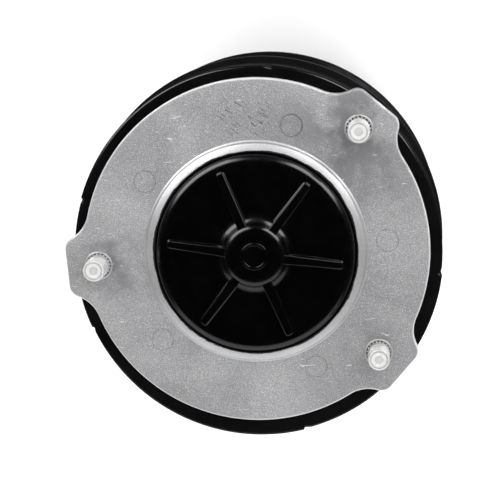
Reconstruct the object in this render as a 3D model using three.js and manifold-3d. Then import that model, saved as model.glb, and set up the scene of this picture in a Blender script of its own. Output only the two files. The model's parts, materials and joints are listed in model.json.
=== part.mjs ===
// A continuous-feed kitchen garbage disposal, upright, in millimetres, +Z up.
// The origin is the centre of the flat underside of the base cover; the shaft's axis is the Z axis.
import * as THREE from "three";
import { mergeVertices } from "three/addons/utils/BufferGeometryUtils.js";
import Module from "manifold-3d";

const wasm = await Module();
wasm.setup();

// ---- Driving dimensions ----

// Clearances
const gap = 0.3; // between pieces that sit against each other
const liftGap = 0.35; // round what lifts out of the throat
const spinGap = 0.8; // round what turns with the shaft
const pressGap = 0.2; // between the shaft and what is pressed or slid onto it
const past = 1; // how far a cutting shape reaches past the face it starts from

// Mounting plate: a cast ring with three lobes, a raised collar and a sleeve below
const throatRadius = 44.45;
const collarWidth = 4.6;
const collarRise = 3.5;
const collarChamfer = 0.8;
const plateRadius = 76.3;
const plateThick = 6;
const plateTurn = 5.7; // degrees between the plate's own axis and the body's X axis
const lobeAngles = [45, 180, 315];
const lobeOut = 8.2; // how far a lobe stands out past the rim
const lobeWidth = 27.5;
const lobeCorner = 5.5;
const lobeFillet = 15;
const sleeveWall = 3;
const sleeveGap = 0.6; // between the plate's sleeve and the hopper's neck
const sleeveDepth = 12;
const ledgeWidth = 4;
const ledgeThick = 3;

// Studs pressed into the lobes
const studInset = 6; // a stud's axis in from the plate's rim
const studRadius = 4.9;
const knurlRadius = 5.3;
const studRise = 14;
const studChamfer = 1;
const dimpleRadius = 2.5;
const dimpleDepth = 1;

// Splash guard and stopper
const guardRimHeight = 3.7;
const guardDrop = 16;
const guardHole = 9;
const guardThick = 2;
const guardSlits = 8;
const slitWidth = 1.2;
const stopperRise = 17; // rim's lower edge to the top of the disc
const stopperShoulder = 4.4;
const stopperSkin = 3;
const stopperSkirt = 2.6;
const stopperRibs = 6;
const stopperTurn = -6.4; // degrees from the X axis to the first rib
const ribWidth = 4.8;
const ribHeight = 5;
const ribReach = 38.5;
const ribRoot = 3; // how deep the ribs start in the knob and in the disc below them
const knobRadius = 13.7;
const knobHeight = 6;
const knobFlare = 3.9;
const knobChamfer = 0.8;

// Hopper, the nylon grind chamber
const chamberRadius = 62;
const hopperWall = 2.8;
const hopperHeight = 105.1; // joint with the drain housing to the plate's underside
const hopperStraight = 62;
const hopperShoulder = 8;
const neckWall = 3.2;
const neckLength = 20;
const neckFlange = 5;
const neckFlangeThick = 3;
const gasketThick = 1.9;
const jointFlange = 5.4; // how far the two joint flanges stand out
const jointFlangeThick = 5;
const clampWall = 2.2;
const clampLip = 2.6;
const clampSlack = 1.2;

// Dishwasher inlet on the hopper
const inletAngle = 225;
const inletAbove = 49; // axis above the joint
const inletRadius = 11;
const inletBore = 8;
const inletOut = 7.7; // tip past the shells' belt
const inletBead = 1;
const beadBack = 4; // bead's far side from the tip
const beadWidth = 2;
const plugThick = 3;
const insulationLift = 5; // sleeve's lower edge above the seam

// Grind ring, turntable and swivelling lugs
const ringWall = 2.5;
const ringHeight = 34;
const ringNotches = 16;
const notchWidth = 3;
const notchHeight = 9;
const notchAbove = 10; // notch's middle above the ring's foot
const tableThick = 2.4;
const tableRise = 4; // underside above the grind ring's seat
const tableGap = 1;
const tableHub = 13;
const tableHubHeight = 7;
const tableDrains = 6;
const tableDrainRadius = 2.5;
const tableDrainCircle = 28;
const lugCircle = 40;
const lugReach = 14;
const lugTail = 10;
const lugEndRadius = 5;
const lugTailRadius = 6;
const lugHeight = 9;
const rivetRadius = 3;
const rivetHead = 5.5;
const rivetHeadThick = 2;
const rivetChamfer = 1;
const lugEndSweep = 75; // degrees either side of the lug's length
const nutRadius = 10;
const nutHeight = 7;

// Drain housing and discharge port
const drainWall = 4;
const drainFloor = 6;
const drainRound = 4;
const drainDeeper = 1; // chamber's depth past the port's bore
const seatThick = 3;
const seatWidth = 2; // ledge inside the grind ring
const seatHaunch = 4;
const seatToJoint = 9;
const bossRadius = 17;
const bossRise = 12;
const bossDrop = 8;
const socketDeeper = 1; // bearing and seal sockets, past what sits in them
const boltTapFloor = 1.5;
const portBore = 17.5;
const portWall = 3.3;
const portOut = 7.7; // port's face past the shells' belt
const earThick = 5;
const earOut = 10.2; // a screw's axis past the port's outside
const earRadius = 6.5;
const earRim = 2.7; // ear plate round the port
const portGasketThick = 2.5;
const portFlangeThick = 2.5;
const screwRadius = 2.5;
const screwHead = 4.6;
const screwHeadThick = 3;
const screwTail = 2; // screw's tip past what it holds

// Shaft, seal and bearings
const shaftRadius = 6;
const threadRadius = 5;
const shaftTail = 3; // below the end bell
const sealRadius = 11;
const sealHeight = 6;
const slingerRadius = 14;
const slingerThick = 2;
const bearingRadius = 12;
const bearingHeight = 8;
const bushRadius = 10; // the lower bearing

// Motor
const canLength = 108;
const canRadius = 52;
const canWall = 2.5;
const bellThick = 6;
const bellStep = 3; // spigot inside the can, as wide as it is high
const bellHub = 2;
const bellVents = 4;
const bellVentCircle = 30;
const bellVentRadius = 5;
const bellTapRoof = 1.5;
const magnetThick = 6.5;
const magnetSpan = 126; // degrees
const magnetLength = 60;
const coreLength = 46;
const coreLift = 40; // core's underside above the end bell's underside
const coreTeeth = 12;
const coreSlotDepth = 18;
const slotMouth = 3;
const slotHalf = 5.5; // degrees
const toothTip = 2.5;
const toothNeck = 4;
const windingLength = 13;
const windingInner = 15;
const windingInset = 3;
const windingInnerRound = 3;
const windingOuterRound = 4;
const commutatorRadius = 12.5;
const commutatorLength = 14;
const commutatorLift = 12;
const commutatorBars = 12;
const barGapHalf = 2; // degrees
const barGapDepth = 1;
const brushSize = 7;
const brushReach = 26;
const brushBoxWall = 1.5;
const brushBoxGap = 3; // box's near end off the commutator
const brushBoxOver = 2; // box's far end past the magnets' inside
const boltRadius = 2;
const boltInset = 6.5; // a bolt's axis in from the can
const boltHead = 4;
const boltHeadThick = 3;
const boltShort = 2; // a bolt's end below the chamber's floor

// Outer shells and top trim
const trimOut = 1.5; // trim ring past the barrel
const trimRound = 2;
const trimWall = 2.2;
const trimSkirt = 8;
const trimThick = 3;
const shellWall = 2.6;
const shellRoom = 5.7; // between the clamp band and the barrel
const ridgeRise = 3;
const ridgeRound = 1;
const ridgeAbove = 63; // middle of the ridge above the joint
const ridgeHalf = 4;
const beltRise = 2.3; // where the two shells meet
const beltRound = 1.5;
const beltStep = 0.3; // lower shell's belt in from the upper one's
const beltHeight = 10;
const seamAbove = 7; // the shells' seam above the joint
const flare = 3; // height over which the lower shell widens into its belt
const lowerStep = 0.5; // lower shell's top in from the barrel
const lowerTaper = 6;
const footInset = 7.5;
const portClearance = 0.7; // round the port, in the lower shell
const inletClearance = 1; // round the inlet, in the upper shell
const footRound = 5;

// Base cover and wiring room
const footThick = 4;
const wiringRoom = 16;
const baseHeight = 30;
const baseSpigot = 4;
const baseShoulder = 6; // inner step below the base cover's rim
const baseRound = 3;
const baseVents = 12;
const ventWidth = 3;
const ventHeight = 12;
const ventDepth = 20;
const ventTurn = 10; // degrees
const postRadius = 6;
const postInset = 6; // a post's axis in from the can
const postAngles = [50, 170, 290];
const buttonPlace = [28, -24];
const buttonRadius = 4.6;
const buttonLength = 10;
const buttonLift = 1.5;
const buttonChamfer = 0.6;
const switchRadius = 9;
const switchHeight = 12;
const switchLift = 2; // above the foot
const switchRoof = 2;
const doorPlace = [-22, -22];
const doorSize = [34, 24];
const doorThick = 1.2;
const doorRecess = 2.4;
const doorLip = 3;
const glandPlace = [-4, 30];
const glandRadius = 11;
const glandBore = 7;
const glandFlange = 14;
const glandHeight = 12;
const glandLift = 0.4;
const glandFlangeThick = 1.5;
const terminalSize = [22, 10, 9];
const terminalPlace = [26, 8];
const groundAngle = 170;
const groundRoom = 5.8; // between the ground screw and the post beside it
const groundRadius = 3.6;
const groundHeight = 4;

// Facets round a full turn
const fine = 30;
const medium = 20;
const coarse = 12;
const tiny = 8;
const hexagon = 6;

// ---- Heights and radii that follow ----

const drainDepth = 2 * portBore + drainDeeper;
const motorZ = footThick + wiringRoom;
const canZ = motorZ + bellThick + gap;
const drainZ = canZ + canLength + gap;
const chamberFloorZ = drainZ + drainFloor;
const seatZ = chamberFloorZ + drainDepth + seatThick;
const tableZ = seatZ + tableRise;
const jointZ = seatZ + seatToJoint;
const plateZ = jointZ + hopperHeight;
const portZ = chamberFloorZ + portBore;

const collarRadius = throatRadius + collarWidth;
const sleeveRadius = throatRadius + sleeveWall;
const ledgeRadius = throatRadius - ledgeWidth;
const liftRadius = throatRadius - liftGap;
const neckInner = sleeveRadius + sleeveGap;
const neckOuter = neckInner + neckWall;
const neckFlangeRadius = neckOuter + neckFlange;
const neckTop = hopperHeight - gasketThick - 2 * gap;
const hopperOuter = chamberRadius + hopperWall;
const flangeRadius = hopperOuter + jointFlange;
const ringOuter = chamberRadius - gap;
const ringInner = ringOuter - ringWall;
const tableRadius = ringInner - tableGap;
const drainOuter = chamberRadius + drainWall;
const seatRadius = ringInner - seatWidth;
const portOuter = portBore + portWall;
const earRound = portOuter + earRim;
const earSpacing = portOuter + earOut;
const magnetOuter = (canRadius - canWall) * Math.cos(Math.PI / fine) - gap; // clear of the can's flats
const magnetInner = magnetOuter - magnetThick;
const coreRadius = magnetInner - spinGap;
const boltCircle = canRadius - boltInset;
const postCircle = canRadius - postInset;
const groundCircle = postCircle - postRadius - groundRoom - groundRadius;
const seamZ = jointZ + seamAbove;
const lobeReach = plateRadius + lobeOut;
const studCircle = plateRadius - studInset;
const clampRadius = flangeRadius + gap + clampWall;
const shellRadius = clampRadius + shellRoom + shellWall; // the barrel
const trimRadius = shellRadius + trimOut;
const ridgeRadius = shellRadius + ridgeRise;
const beltRadius = shellRadius + beltRise;
const lowerTopRadius = shellRadius - lowerStep;
const lowerBottomRadius = lowerTopRadius - lowerTaper;
const footRadius = lowerBottomRadius - footInset;
const inletTip = beltRadius + inletOut;
const portReach = beltRadius + portOut;

// ---- Solids ----

function solidOf(geometry) {
  geometry.deleteAttribute("normal");
  geometry.deleteAttribute("uv");
  const merged = mergeVertices(geometry, 1e-4);
  const mesh = new wasm.Mesh({
    numProp: 3,
    vertProperties: merged.attributes.position.array,
    triVerts: new Uint32Array(merged.index.array),
  });
  return new wasm.Manifold(mesh);
}

function geometryOf(solid) {
  const mesh = solid.getMesh();
  const geometry = new THREE.BufferGeometry();
  geometry.setAttribute("position", new THREE.BufferAttribute(mesh.vertProperties, 3));
  geometry.setIndex(new THREE.BufferAttribute(mesh.triVerts, 1));
  geometry.computeVertexNormals();
  return geometry;
}

function cut(solid, ...tools) {
  return tools.reduce((left, tool) => left.subtract(tool), solid);
}

function join(solid, ...others) {
  return others.reduce((whole, other) => whole.add(other), solid);
}

// Points round an arc, from one angle to another in degrees.
function arc(x, y, radius, from, to, step = 12) {
  const steps = Math.max(1, Math.ceil(Math.abs(to - from) / step));
  return Array.from({ length: steps + 1 }, (_, i) => {
    const angle = THREE.MathUtils.degToRad(from + ((to - from) * i) / steps);
    return [x + radius * Math.cos(angle), y + radius * Math.sin(angle)];
  });
}

// An outline whose corners [x, y, radius] are rounded where they have a radius.
function rounded(corners, steps = 2) {
  const points = [];
  corners.forEach(([x, y, radius], i) => {
    if (!radius) {
      points.push([x, y]);
      return;
    }
    const here = new THREE.Vector2(x, y);
    const [px, py] = corners.at(i - 1);
    const [nx, ny] = corners[(i + 1) % corners.length];
    const back = new THREE.Vector2(px, py).sub(here).normalize();
    const ahead = new THREE.Vector2(nx, ny).sub(here).normalize();
    const half = Math.acos(THREE.MathUtils.clamp(back.dot(ahead), -1, 1)) / 2;
    const inward = back.clone().add(ahead).normalize();
    const centre = here.clone().addScaledVector(inward, radius / Math.sin(half));
    const from = here.clone().addScaledVector(back, radius / Math.tan(half)).sub(centre);
    const to = here.clone().addScaledVector(ahead, radius / Math.tan(half)).sub(centre);
    const turn = Math.atan2(from.cross(to), from.dot(to));
    for (let k = 0; k <= steps; k++) {
      const point = from.clone().rotateAround(new THREE.Vector2(), (turn * k) / steps).add(centre);
      points.push([point.x, point.y]);
    }
  });
  return points;
}

// A profile of [radius, height] points, anticlockwise with the axis on the left, turned round Z.
function turned(profile, segments = fine) {
  const points = profile.map(([radius, height]) => new THREE.Vector2(radius, height));
  if (points[0].x > 0) points.push(points[0].clone());
  return solidOf(new THREE.LatheGeometry(points, segments).rotateX(Math.PI / 2));
}

function tube(inner, outer, low, high, segments = fine) {
  return turned([[inner, low], [outer, low], [outer, high], [inner, high]], segments);
}

function slab(outline, low, high, holes = []) {
  const shape = new THREE.Shape(outline.map(([x, y]) => new THREE.Vector2(x, y)));
  shape.holes = holes.map((hole) => new THREE.Path(hole.map(([x, y]) => new THREE.Vector2(x, y))));
  const geometry = new THREE.ExtrudeGeometry(shape, { depth: high - low, bevelEnabled: false });
  return solidOf(geometry.translate(0, 0, low));
}

function circle(x, y, radius, segments = coarse) {
  return arc(x, y, radius, 0, 360, 360 / segments).slice(0, -1);
}

function block([width, depth, height], [x, y, z], turn = 0) {
  const geometry = new THREE.BoxGeometry(width, depth, height).translate(x, y, z);
  return solidOf(geometry.rotateZ(THREE.MathUtils.degToRad(turn)));
}

// A round bar lying along the radius at an angle, from one distance off the axis to another.
function radialBar(radius, near, far, height, angle, segments = coarse) {
  const bar = new THREE.CylinderGeometry(radius, radius, far - near, segments);
  bar.rotateZ(-Math.PI / 2).translate((near + far) / 2, 0, height);
  return solidOf(bar.rotateZ(THREE.MathUtils.degToRad(angle)));
}

function polar(radius, angle) {
  const turn = THREE.MathUtils.degToRad(angle);
  return [radius * Math.cos(turn), radius * Math.sin(turn)];
}

function evenly(count, start = 0) {
  return Array.from({ length: count }, (_, i) => start + (360 * i) / count);
}

// ---- Scene graph ----

const disposal = new THREE.Group();

function group(parent, x, y, z, turn = 0) {
  const made = new THREE.Group();
  made.position.set(x, y, z);
  made.rotation.z = THREE.MathUtils.degToRad(turn);
  parent.add(made);
  return made;
}

function piece(parent, name, solid, [color, roughness, metalness], place = [0, 0, 0]) {
  const material = new THREE.MeshStandardMaterial({ color, roughness, metalness });
  const mesh = new THREE.Mesh(geometryOf(solid), material);
  mesh.name = name;
  mesh.position.set(...place);
  parent.add(mesh);
}

const castAluminium = [0xb9babc, 0.5, 0.9];
const plainSteel = [0xa7a9ac, 0.35, 1];
const stainless = [0xc4c6c8, 0.25, 1];
const zincSteel = [0xb4b6b8, 0.4, 1];
const glossBlack = [0x0c0c0d, 0.2, 0];
const satinBlack = [0x161617, 0.45, 0];
const blackNylon = [0x1b1b1c, 0.55, 0];
const rubber = [0x121212, 0.85, 0];
const foam = [0x3a3a3c, 0.95, 0];
const copper = [0xb4683a, 0.4, 1];
const brass = [0xc0a25a, 0.35, 1];
const carbon = [0x2c2c2e, 0.8, 0];
const ferrite = [0x3c3d40, 0.7, 0];
const redPlastic = [0xb01c1a, 0.35, 0];
const greenPaint = [0x2e7d3a, 0.4, 0.5];

// ---- Mounting plate group, its origin at the plate's underside ----

// Half of a lobe: the fillet from the rim and the corner, as circles tangent to each other.
function lobeCircles() {
  const corner = [lobeReach - lobeCorner, lobeWidth / 2 - lobeCorner];
  const reach = plateRadius + lobeFillet;
  const between = lobeFillet + lobeCorner;
  const away = Math.hypot(...corner);
  const spread = Math.acos((reach * reach + away * away - between * between) / (2 * reach * away));
  const angle = Math.atan2(corner[1], corner[0]) + spread;
  const fillet = [reach * Math.cos(angle), reach * Math.sin(angle)];
  const touch = Math.atan2(fillet[1] - corner[1], fillet[0] - corner[0]);
  return {
    corner,
    fillet,
    rimAngle: THREE.MathUtils.radToDeg(angle),
    touchAngle: THREE.MathUtils.radToDeg(touch),
  };
}

function plateOutline() {
  const { corner, fillet, rimAngle, touchAngle } = lobeCircles();
  const rising = arc(...fillet, lobeFillet, rimAngle + 180, touchAngle + 180, 12);
  const rounding = arc(...corner, lobeCorner, touchAngle, 0, 30);
  const upper = [...rising, ...rounding.slice(1)];
  const lower = upper.map(([x, y]) => [x, -y]);
  const lobe = [...lower, ...upper.reverse()];
  return lobeAngles.flatMap((angle, i) => {
    const next = lobeAngles[(i + 1) % lobeAngles.length] + (i + 1 === lobeAngles.length ? 360 : 0);
    const spin = THREE.MathUtils.degToRad(angle);
    const turnedLobe = lobe.map(([x, y]) => [
      x * Math.cos(spin) - y * Math.sin(spin),
      x * Math.sin(spin) + y * Math.cos(spin),
    ]);
    const rim = arc(0, 0, plateRadius, angle + rimAngle, next - rimAngle);
    return [...turnedLobe, ...rim.slice(1, -1)];
  });
}

function mountingPlate() {
  const plate = slab(plateOutline(), 0, plateThick, [circle(0, 0, throatRadius + collarWidth / 2, fine)]);
  const collarTop = plateThick + collarRise;
  const ring = turned([
    [ledgeRadius, -sleeveDepth],
    [sleeveRadius, -sleeveDepth],
    [sleeveRadius, 0],
    [collarRadius, 0],
    [collarRadius, collarTop - collarChamfer],
    [collarRadius - collarChamfer, collarTop],
    [throatRadius, collarTop],
    [throatRadius, ledgeThick - sleeveDepth],
    [ledgeRadius, ledgeThick - sleeveDepth],
  ]);
  const holes = lobeAngles.map((angle) => {
    const [x, y] = polar(studCircle, angle);
    return slab(circle(x, y, knurlRadius + gap), -past, plateThick + past);
  });
  return cut(join(plate, ring), ...holes);
}

function stud() {
  const tip = plateThick + studRise;
  return turned(
    [
      [0, gap],
      [knurlRadius, gap],
      [knurlRadius, plateThick - studChamfer],
      [studRadius, plateThick - studChamfer],
      [studRadius, tip - studChamfer],
      [studRadius - studChamfer, tip],
      [dimpleRadius, tip],
      [0, tip - dimpleDepth],
    ],
    coarse,
  );
}

function neckGasket() {
  return tube(neckInner, neckFlangeRadius, -gap - gasketThick, -gap);
}

function topTrimRing() {
  const top = -gap;
  const inner = trimRadius - trimWall;
  return turned(
    rounded([
      [neckFlangeRadius + gap, top - trimThick],
      [inner, top - trimThick],
      [inner, top - trimThick - trimSkirt],
      [trimRadius, top - trimThick - trimSkirt],
      [trimRadius, top, trimRound],
      [neckFlangeRadius + gap, top],
    ]),
  );
}

// ---- Splash guard and stopper, each with its origin at its own lowest rim face ----

function splashGuard() {
  const root = ledgeRadius - gap;
  const skirt = turned([
    [guardHole, -guardDrop],
    [guardHole + guardThick, -guardDrop],
    [root, 0],
    [liftRadius, 0],
    [liftRadius, guardRimHeight],
    [root - guardThick, guardRimHeight],
    [root - guardThick, 0],
    [guardHole, guardThick - guardDrop],
  ]);
  const near = guardHole - guardThick;
  const far = root - 2 * guardThick;
  const slits = evenly(guardSlits).map((angle) =>
    block([far - near, slitWidth, 3 * guardDrop], [(near + far) / 2, 0, 0], angle),
  );
  return cut(skirt, ...slits);
}

function stopper() {
  const underside = stopperRise - stopperSkin;
  const shoulderRadius = liftRadius - stopperShoulder;
  const shoulder = arc(shoulderRadius, stopperRise - stopperShoulder, stopperShoulder, 0, 90, 22.5);
  const knobRoot = arc(knobRadius + knobFlare, stopperRise + knobFlare, knobFlare, 270, 180, 30);
  const cap = turned([
    [0, underside],
    [liftRadius - stopperSkirt, underside],
    [liftRadius - stopperSkirt, 0],
    [liftRadius, 0],
    ...shoulder,
    ...knobRoot,
    [knobRadius, stopperRise + knobHeight - knobChamfer],
    [knobRadius - knobChamfer, stopperRise + knobHeight],
    [0, stopperRise + knobHeight],
  ]);
  const start = knobRadius - ribRoot;
  const low = stopperRise - ribRoot / 2;
  const high = stopperRise + ribHeight;
  const ribs = evenly(stopperRibs).map((angle) =>
    block(
      [ribReach - start, ribWidth, high - low],
      [(ribReach + start) / 2, 0, (high + low) / 2],
      angle,
    ),
  );
  return join(cap, ...ribs);
}

// ---- Hopper group, its origin at the joint with the drain housing ----

function hopperShell() {
  const neckStart = hopperHeight - neckLength;
  const shell = turned(
    rounded([
      [chamberRadius, gap],
      [flangeRadius, gap],
      [flangeRadius, gap + jointFlangeThick],
      [hopperOuter, gap + jointFlangeThick],
      [hopperOuter, hopperStraight, hopperShoulder],
      [neckOuter, neckStart, hopperShoulder],
      [neckOuter, neckTop - neckFlangeThick],
      [neckFlangeRadius, neckTop - neckFlangeThick],
      [neckFlangeRadius, neckTop],
      [neckInner, neckTop],
      [neckInner, neckStart, hopperShoulder],
      [chamberRadius, hopperStraight, hopperShoulder],
    ]),
  );
  const root = chamberRadius + hopperWall / 2;
  const beadStart = inletTip - beadBack;
  const nipple = radialBar(inletRadius, root, inletTip, inletAbove, inletAngle);
  const beadRadius = inletRadius + inletBead;
  const bead = radialBar(beadRadius, beadStart, beadStart + beadWidth, inletAbove, inletAngle);
  const bore = radialBar(inletBore, chamberRadius / 2, inletTip + past, inletAbove, inletAngle);
  return cut(join(shell, nipple, bead), bore);
}

function inletPlug() {
  const near = chamberRadius + gap;
  return radialBar(inletBore - gap, near, near + plugThick, inletAbove, inletAngle);
}

function insulation() {
  const sleeve = tube(
    hopperOuter + gap,
    shellRadius - shellWall - gap,
    seamAbove + insulationLift,
    hopperStraight + hopperShoulder,
  );
  const hole = radialBar(inletRadius + gap, chamberRadius, shellRadius, inletAbove, inletAngle);
  return cut(sleeve, hole);
}

function clampBand() {
  const inner = drainOuter + clampSlack;
  const groove = clampRadius - clampWall;
  const low = -jointFlangeThick - gap;
  const high = jointFlangeThick + 2 * gap;
  return turned(
    [
      [inner, low - clampLip],
      [clampRadius, low - clampLip],
      [clampRadius, high + clampLip],
      [inner, high + clampLip],
      [inner, high],
      [groove, high],
      [groove, low],
      [inner, low],
    ],
  );
}

// The barrel between the seam and the trim, with its belt, ridge and grooves.
function upperShell() {
  const low = seamAbove + gap;
  const top = hopperHeight - gap - trimThick;
  const spigot = top - trimSkirt;
  const spigotRadius = trimRadius - trimWall - gap;
  const inner = shellRadius - shellWall;
  const shell = turned(
    rounded(
      [
        [inner, low],
        [beltRadius, low],
        [beltRadius, low + beltHeight, beltRound],
        [shellRadius, low + beltHeight + beltRise],
        [shellRadius, ridgeAbove - ridgeHalf - ridgeRise],
        [ridgeRadius, ridgeAbove - ridgeHalf, ridgeRound],
        [ridgeRadius, ridgeAbove + ridgeHalf, ridgeRound],
        [shellRadius, ridgeAbove + ridgeHalf + ridgeRise],
        [shellRadius, spigot - gap],
        [spigotRadius, spigot - gap],
        [spigotRadius, top - gap],
        [spigotRadius - shellWall, top - gap],
        [spigotRadius - shellWall, spigot - shellWall],
        [inner, spigot - 2 * shellWall],
      ],
    ),
  );
  const hole = radialBar(inletRadius + inletClearance, chamberRadius, inletTip, inletAbove, inletAngle);
  return cut(shell, hole);
}

function grindRing() {
  const low = gap - seatToJoint;
  const ring = tube(ringInner, ringOuter, low, low + ringHeight);
  const notches = evenly(ringNotches, 180 / ringNotches).map((angle) =>
    block([4 * ringWall, notchWidth, notchHeight], [ringInner, 0, low + notchAbove], angle),
  );
  return cut(ring, ...notches);
}

// ---- Turntable group, its origin at the turntable's underside ----

function turntable() {
  const table = turned([
    [shaftRadius + gap, -tableHubHeight],
    [tableHub, -tableHubHeight],
    [tableHub, 0],
    [tableRadius, 0],
    [tableRadius, tableThick],
    [shaftRadius + gap, tableThick],
  ]);
  const drains = evenly(tableDrains, 180 / tableDrains).map((angle) => {
    const [x, y] = polar(tableDrainCircle, angle);
    return slab(circle(x, y, tableDrainRadius, tiny), -past, tableThick + past);
  });
  const rivetHoles = [-1, 1].map((side) =>
    slab(circle(side * lugCircle, 0, rivetRadius + gap, tiny), -past, tableThick + past),
  );
  return cut(table, ...drains, ...rivetHoles);
}

// A lug with its pivot at the origin, its long end towards +X.
function swivelLug() {
  const outline = [
    ...arc(lugReach - lugEndRadius, 0, lugEndRadius, -lugEndSweep, lugEndSweep, 30),
    ...arc(lugTailRadius - lugTail, 0, lugTailRadius, 180 - lugEndSweep, 180 + lugEndSweep, 30),
  ];
  return slab(outline, 0, lugHeight, [circle(0, 0, rivetRadius + gap, tiny)]);
}

function rivet() {
  const top = tableThick + lugHeight + 3 * gap;
  return turned(
    [
      [0, -rivetHeadThick - gap],
      [rivetHead, -rivetHeadThick - gap],
      [rivetHead, -gap],
      [rivetRadius, -gap],
      [rivetRadius, top],
      [rivetHead, top],
      [rivetHead - rivetChamfer, top + rivetHeadThick],
      [0, top + rivetHeadThick],
    ],
    tiny,
  );
}

function tableNut() {
  const low = tableThick + gap;
  return slab(circle(0, 0, nutRadius, hexagon), low, low + nutHeight, [circle(0, 0, threadRadius + gap)]);
}

// ---- Drain housing group, its origin at the housing's underside ----

// Two small rounds either side of a large one, joined by tangent lines.
function earOutline() {
  const slope = THREE.MathUtils.radToDeg(Math.acos((earRound - earRadius) / earSpacing));
  return [
    ...arc(earSpacing, 0, earRadius, -slope, slope, 30),
    ...arc(0, 0, earRound, slope, 180 - slope, 15),
    ...arc(-earSpacing, 0, earRadius, 180 - slope, 180 + slope, 30),
    ...arc(0, 0, earRound, 180 + slope, 360 - slope, 15),
  ];
}

// An upright plate facing -Y, between two distances from the axis, with holes through it.
function portPlate(outline, near, far, holes = []) {
  const shape = new THREE.Shape(outline.map(([x, y]) => new THREE.Vector2(x, y)));
  shape.holes = holes.map((hole) => new THREE.Path(hole.map(([x, y]) => new THREE.Vector2(x, y))));
  const plate = new THREE.ExtrudeGeometry(shape, { depth: far - near, bevelEnabled: false });
  return solidOf(plate.rotateX(Math.PI / 2).translate(0, -near, portZ - drainZ));
}

function drainHousing() {
  const seat = seatZ - drainZ;
  const top = jointZ - drainZ;
  const bossTop = drainFloor + bossRise;
  const bowl = turned(
    rounded([
      [bearingRadius + gap, -bossDrop],
      [bossRadius, -bossDrop],
      [bossRadius, 0],
      [drainOuter, 0, drainRound],
      [drainOuter, top - jointFlangeThick],
      [flangeRadius, top - jointFlangeThick],
      [flangeRadius, top],
      [chamberRadius, top],
      [chamberRadius, seat],
      [seatRadius, seat],
      [seatRadius, seat - seatThick],
      [chamberRadius, seat - seatThick - seatHaunch],
      [chamberRadius, drainFloor],
      [bossRadius, drainFloor],
      [bossRadius, bossTop],
      [sealRadius + gap, bossTop],
      [sealRadius + gap, bossTop - sealHeight - socketDeeper],
      [shaftRadius + spinGap, bossTop - sealHeight - socketDeeper],
      [shaftRadius + spinGap, bearingHeight - bossDrop + socketDeeper],
      [bearingRadius + gap, bearingHeight - bossDrop + socketDeeper],
    ]),
  );
  const height = portZ - drainZ;
  const pipe = radialBar(portOuter, chamberRadius + drainWall / 2, portReach, height, 270, medium);
  const ears = portPlate(earOutline(), portReach - earThick, portReach);
  const bore = radialBar(portBore, bossRadius + gap, portReach + past, height, 270, medium);
  const taps = [-1, 1].map((side) => earHole(side, portReach - earThick - past, portReach + past));
  const boltTaps = [90, 270].map((angle) => {
    const [x, y] = polar(boltCircle, angle);
    return slab(circle(x, y, boltRadius + gap, tiny), -past, drainFloor - boltTapFloor);
  });
  return cut(join(bowl, pipe, ears), bore, ...taps, ...boltTaps);
}

function earHole(side, near, far) {
  const hole = circle(side * earSpacing, 0, screwRadius + gap, tiny);
  return portPlate(hole, near, far);
}

const gasketFace = portReach + gap;
const flangeFace = gasketFace + portGasketThick + gap;

function portGasket() {
  const ring = circle(0, 0, portOuter, medium);
  return portPlate(ring, gasketFace, gasketFace + portGasketThick, [circle(0, 0, portBore, medium)]);
}

function portFlange() {
  const holes = [
    circle(0, 0, portBore, medium),
    ...[-1, 1].map((side) => circle(side * earSpacing, 0, screwRadius + gap, tiny)),
  ];
  return portPlate(earOutline(), flangeFace, flangeFace + portFlangeThick, holes);
}

// A screw whose head rests on the port flange, its own axis along -Y.
function portScrew() {
  const headFace = flangeFace + portFlangeThick + gap;
  const tip = portReach - earThick - screwTail;
  const geometry = new THREE.LatheGeometry(
    [
      [0, tip],
      [screwRadius, tip],
      [screwRadius, headFace],
      [screwHead, headFace],
      [screwHead, headFace + screwHeadThick],
      [0, headFace + screwHeadThick],
    ].map(([radius, along]) => new THREE.Vector2(radius, along)),
    tiny,
  );
  return solidOf(geometry.rotateX(Math.PI));
}

// ---- Motor group, its origin at the end bell's underside ----

const shaftTop = tableZ - motorZ + tableThick + nutHeight + screwTail;

function shaft() {
  const shoulder = tableZ - motorZ + tableThick;
  return turned(
    [
      [0, -shaftTail],
      [threadRadius, -shaftTail],
      [threadRadius, bellThick + bellHub],
      [shaftRadius, bellThick + bellHub],
      [shaftRadius, shoulder],
      [threadRadius, shoulder],
      [threadRadius, shaftTop],
      [0, shaftTop],
    ],
    coarse,
  );
}

function motorCan() {
  const low = canZ - motorZ;
  return tube(canRadius - canWall, canRadius, low, low + canLength);
}

function magnet(side) {
  const middle = side > 0 ? 0 : 180;
  const outline = [
    ...arc(0, 0, magnetOuter, middle - magnetSpan / 2, middle + magnetSpan / 2, 9),
    ...arc(0, 0, magnetInner, middle + magnetSpan / 2, middle - magnetSpan / 2, 9),
  ];
  const low = coreLift - (magnetLength - coreLength) / 2;
  return slab(outline, low, low + magnetLength);
}

function armatureCore() {
  const pitch = 360 / coreTeeth;
  const mouth = THREE.MathUtils.radToDeg(slotMouth / coreRadius);
  const slotFloor = coreRadius - coreSlotDepth;
  const outline = evenly(coreTeeth).flatMap((angle) => [
    ...arc(0, 0, coreRadius, angle - pitch / 2 + mouth / 2, angle + pitch / 2 - mouth / 2, 9),
    polar(coreRadius - toothTip, angle + pitch / 2 - mouth / 2),
    polar(coreRadius - toothNeck, angle + pitch / 2 - slotHalf),
    polar(slotFloor, angle + pitch / 2 - slotHalf),
    polar(slotFloor, angle + pitch / 2 + slotHalf),
    polar(coreRadius - toothNeck, angle + pitch / 2 + slotHalf),
    polar(coreRadius - toothTip, angle + pitch / 2 + mouth / 2),
  ]);
  return slab(outline, coreLift, coreLift + coreLength, [circle(0, 0, shaftRadius + gap)]);
}

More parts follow.
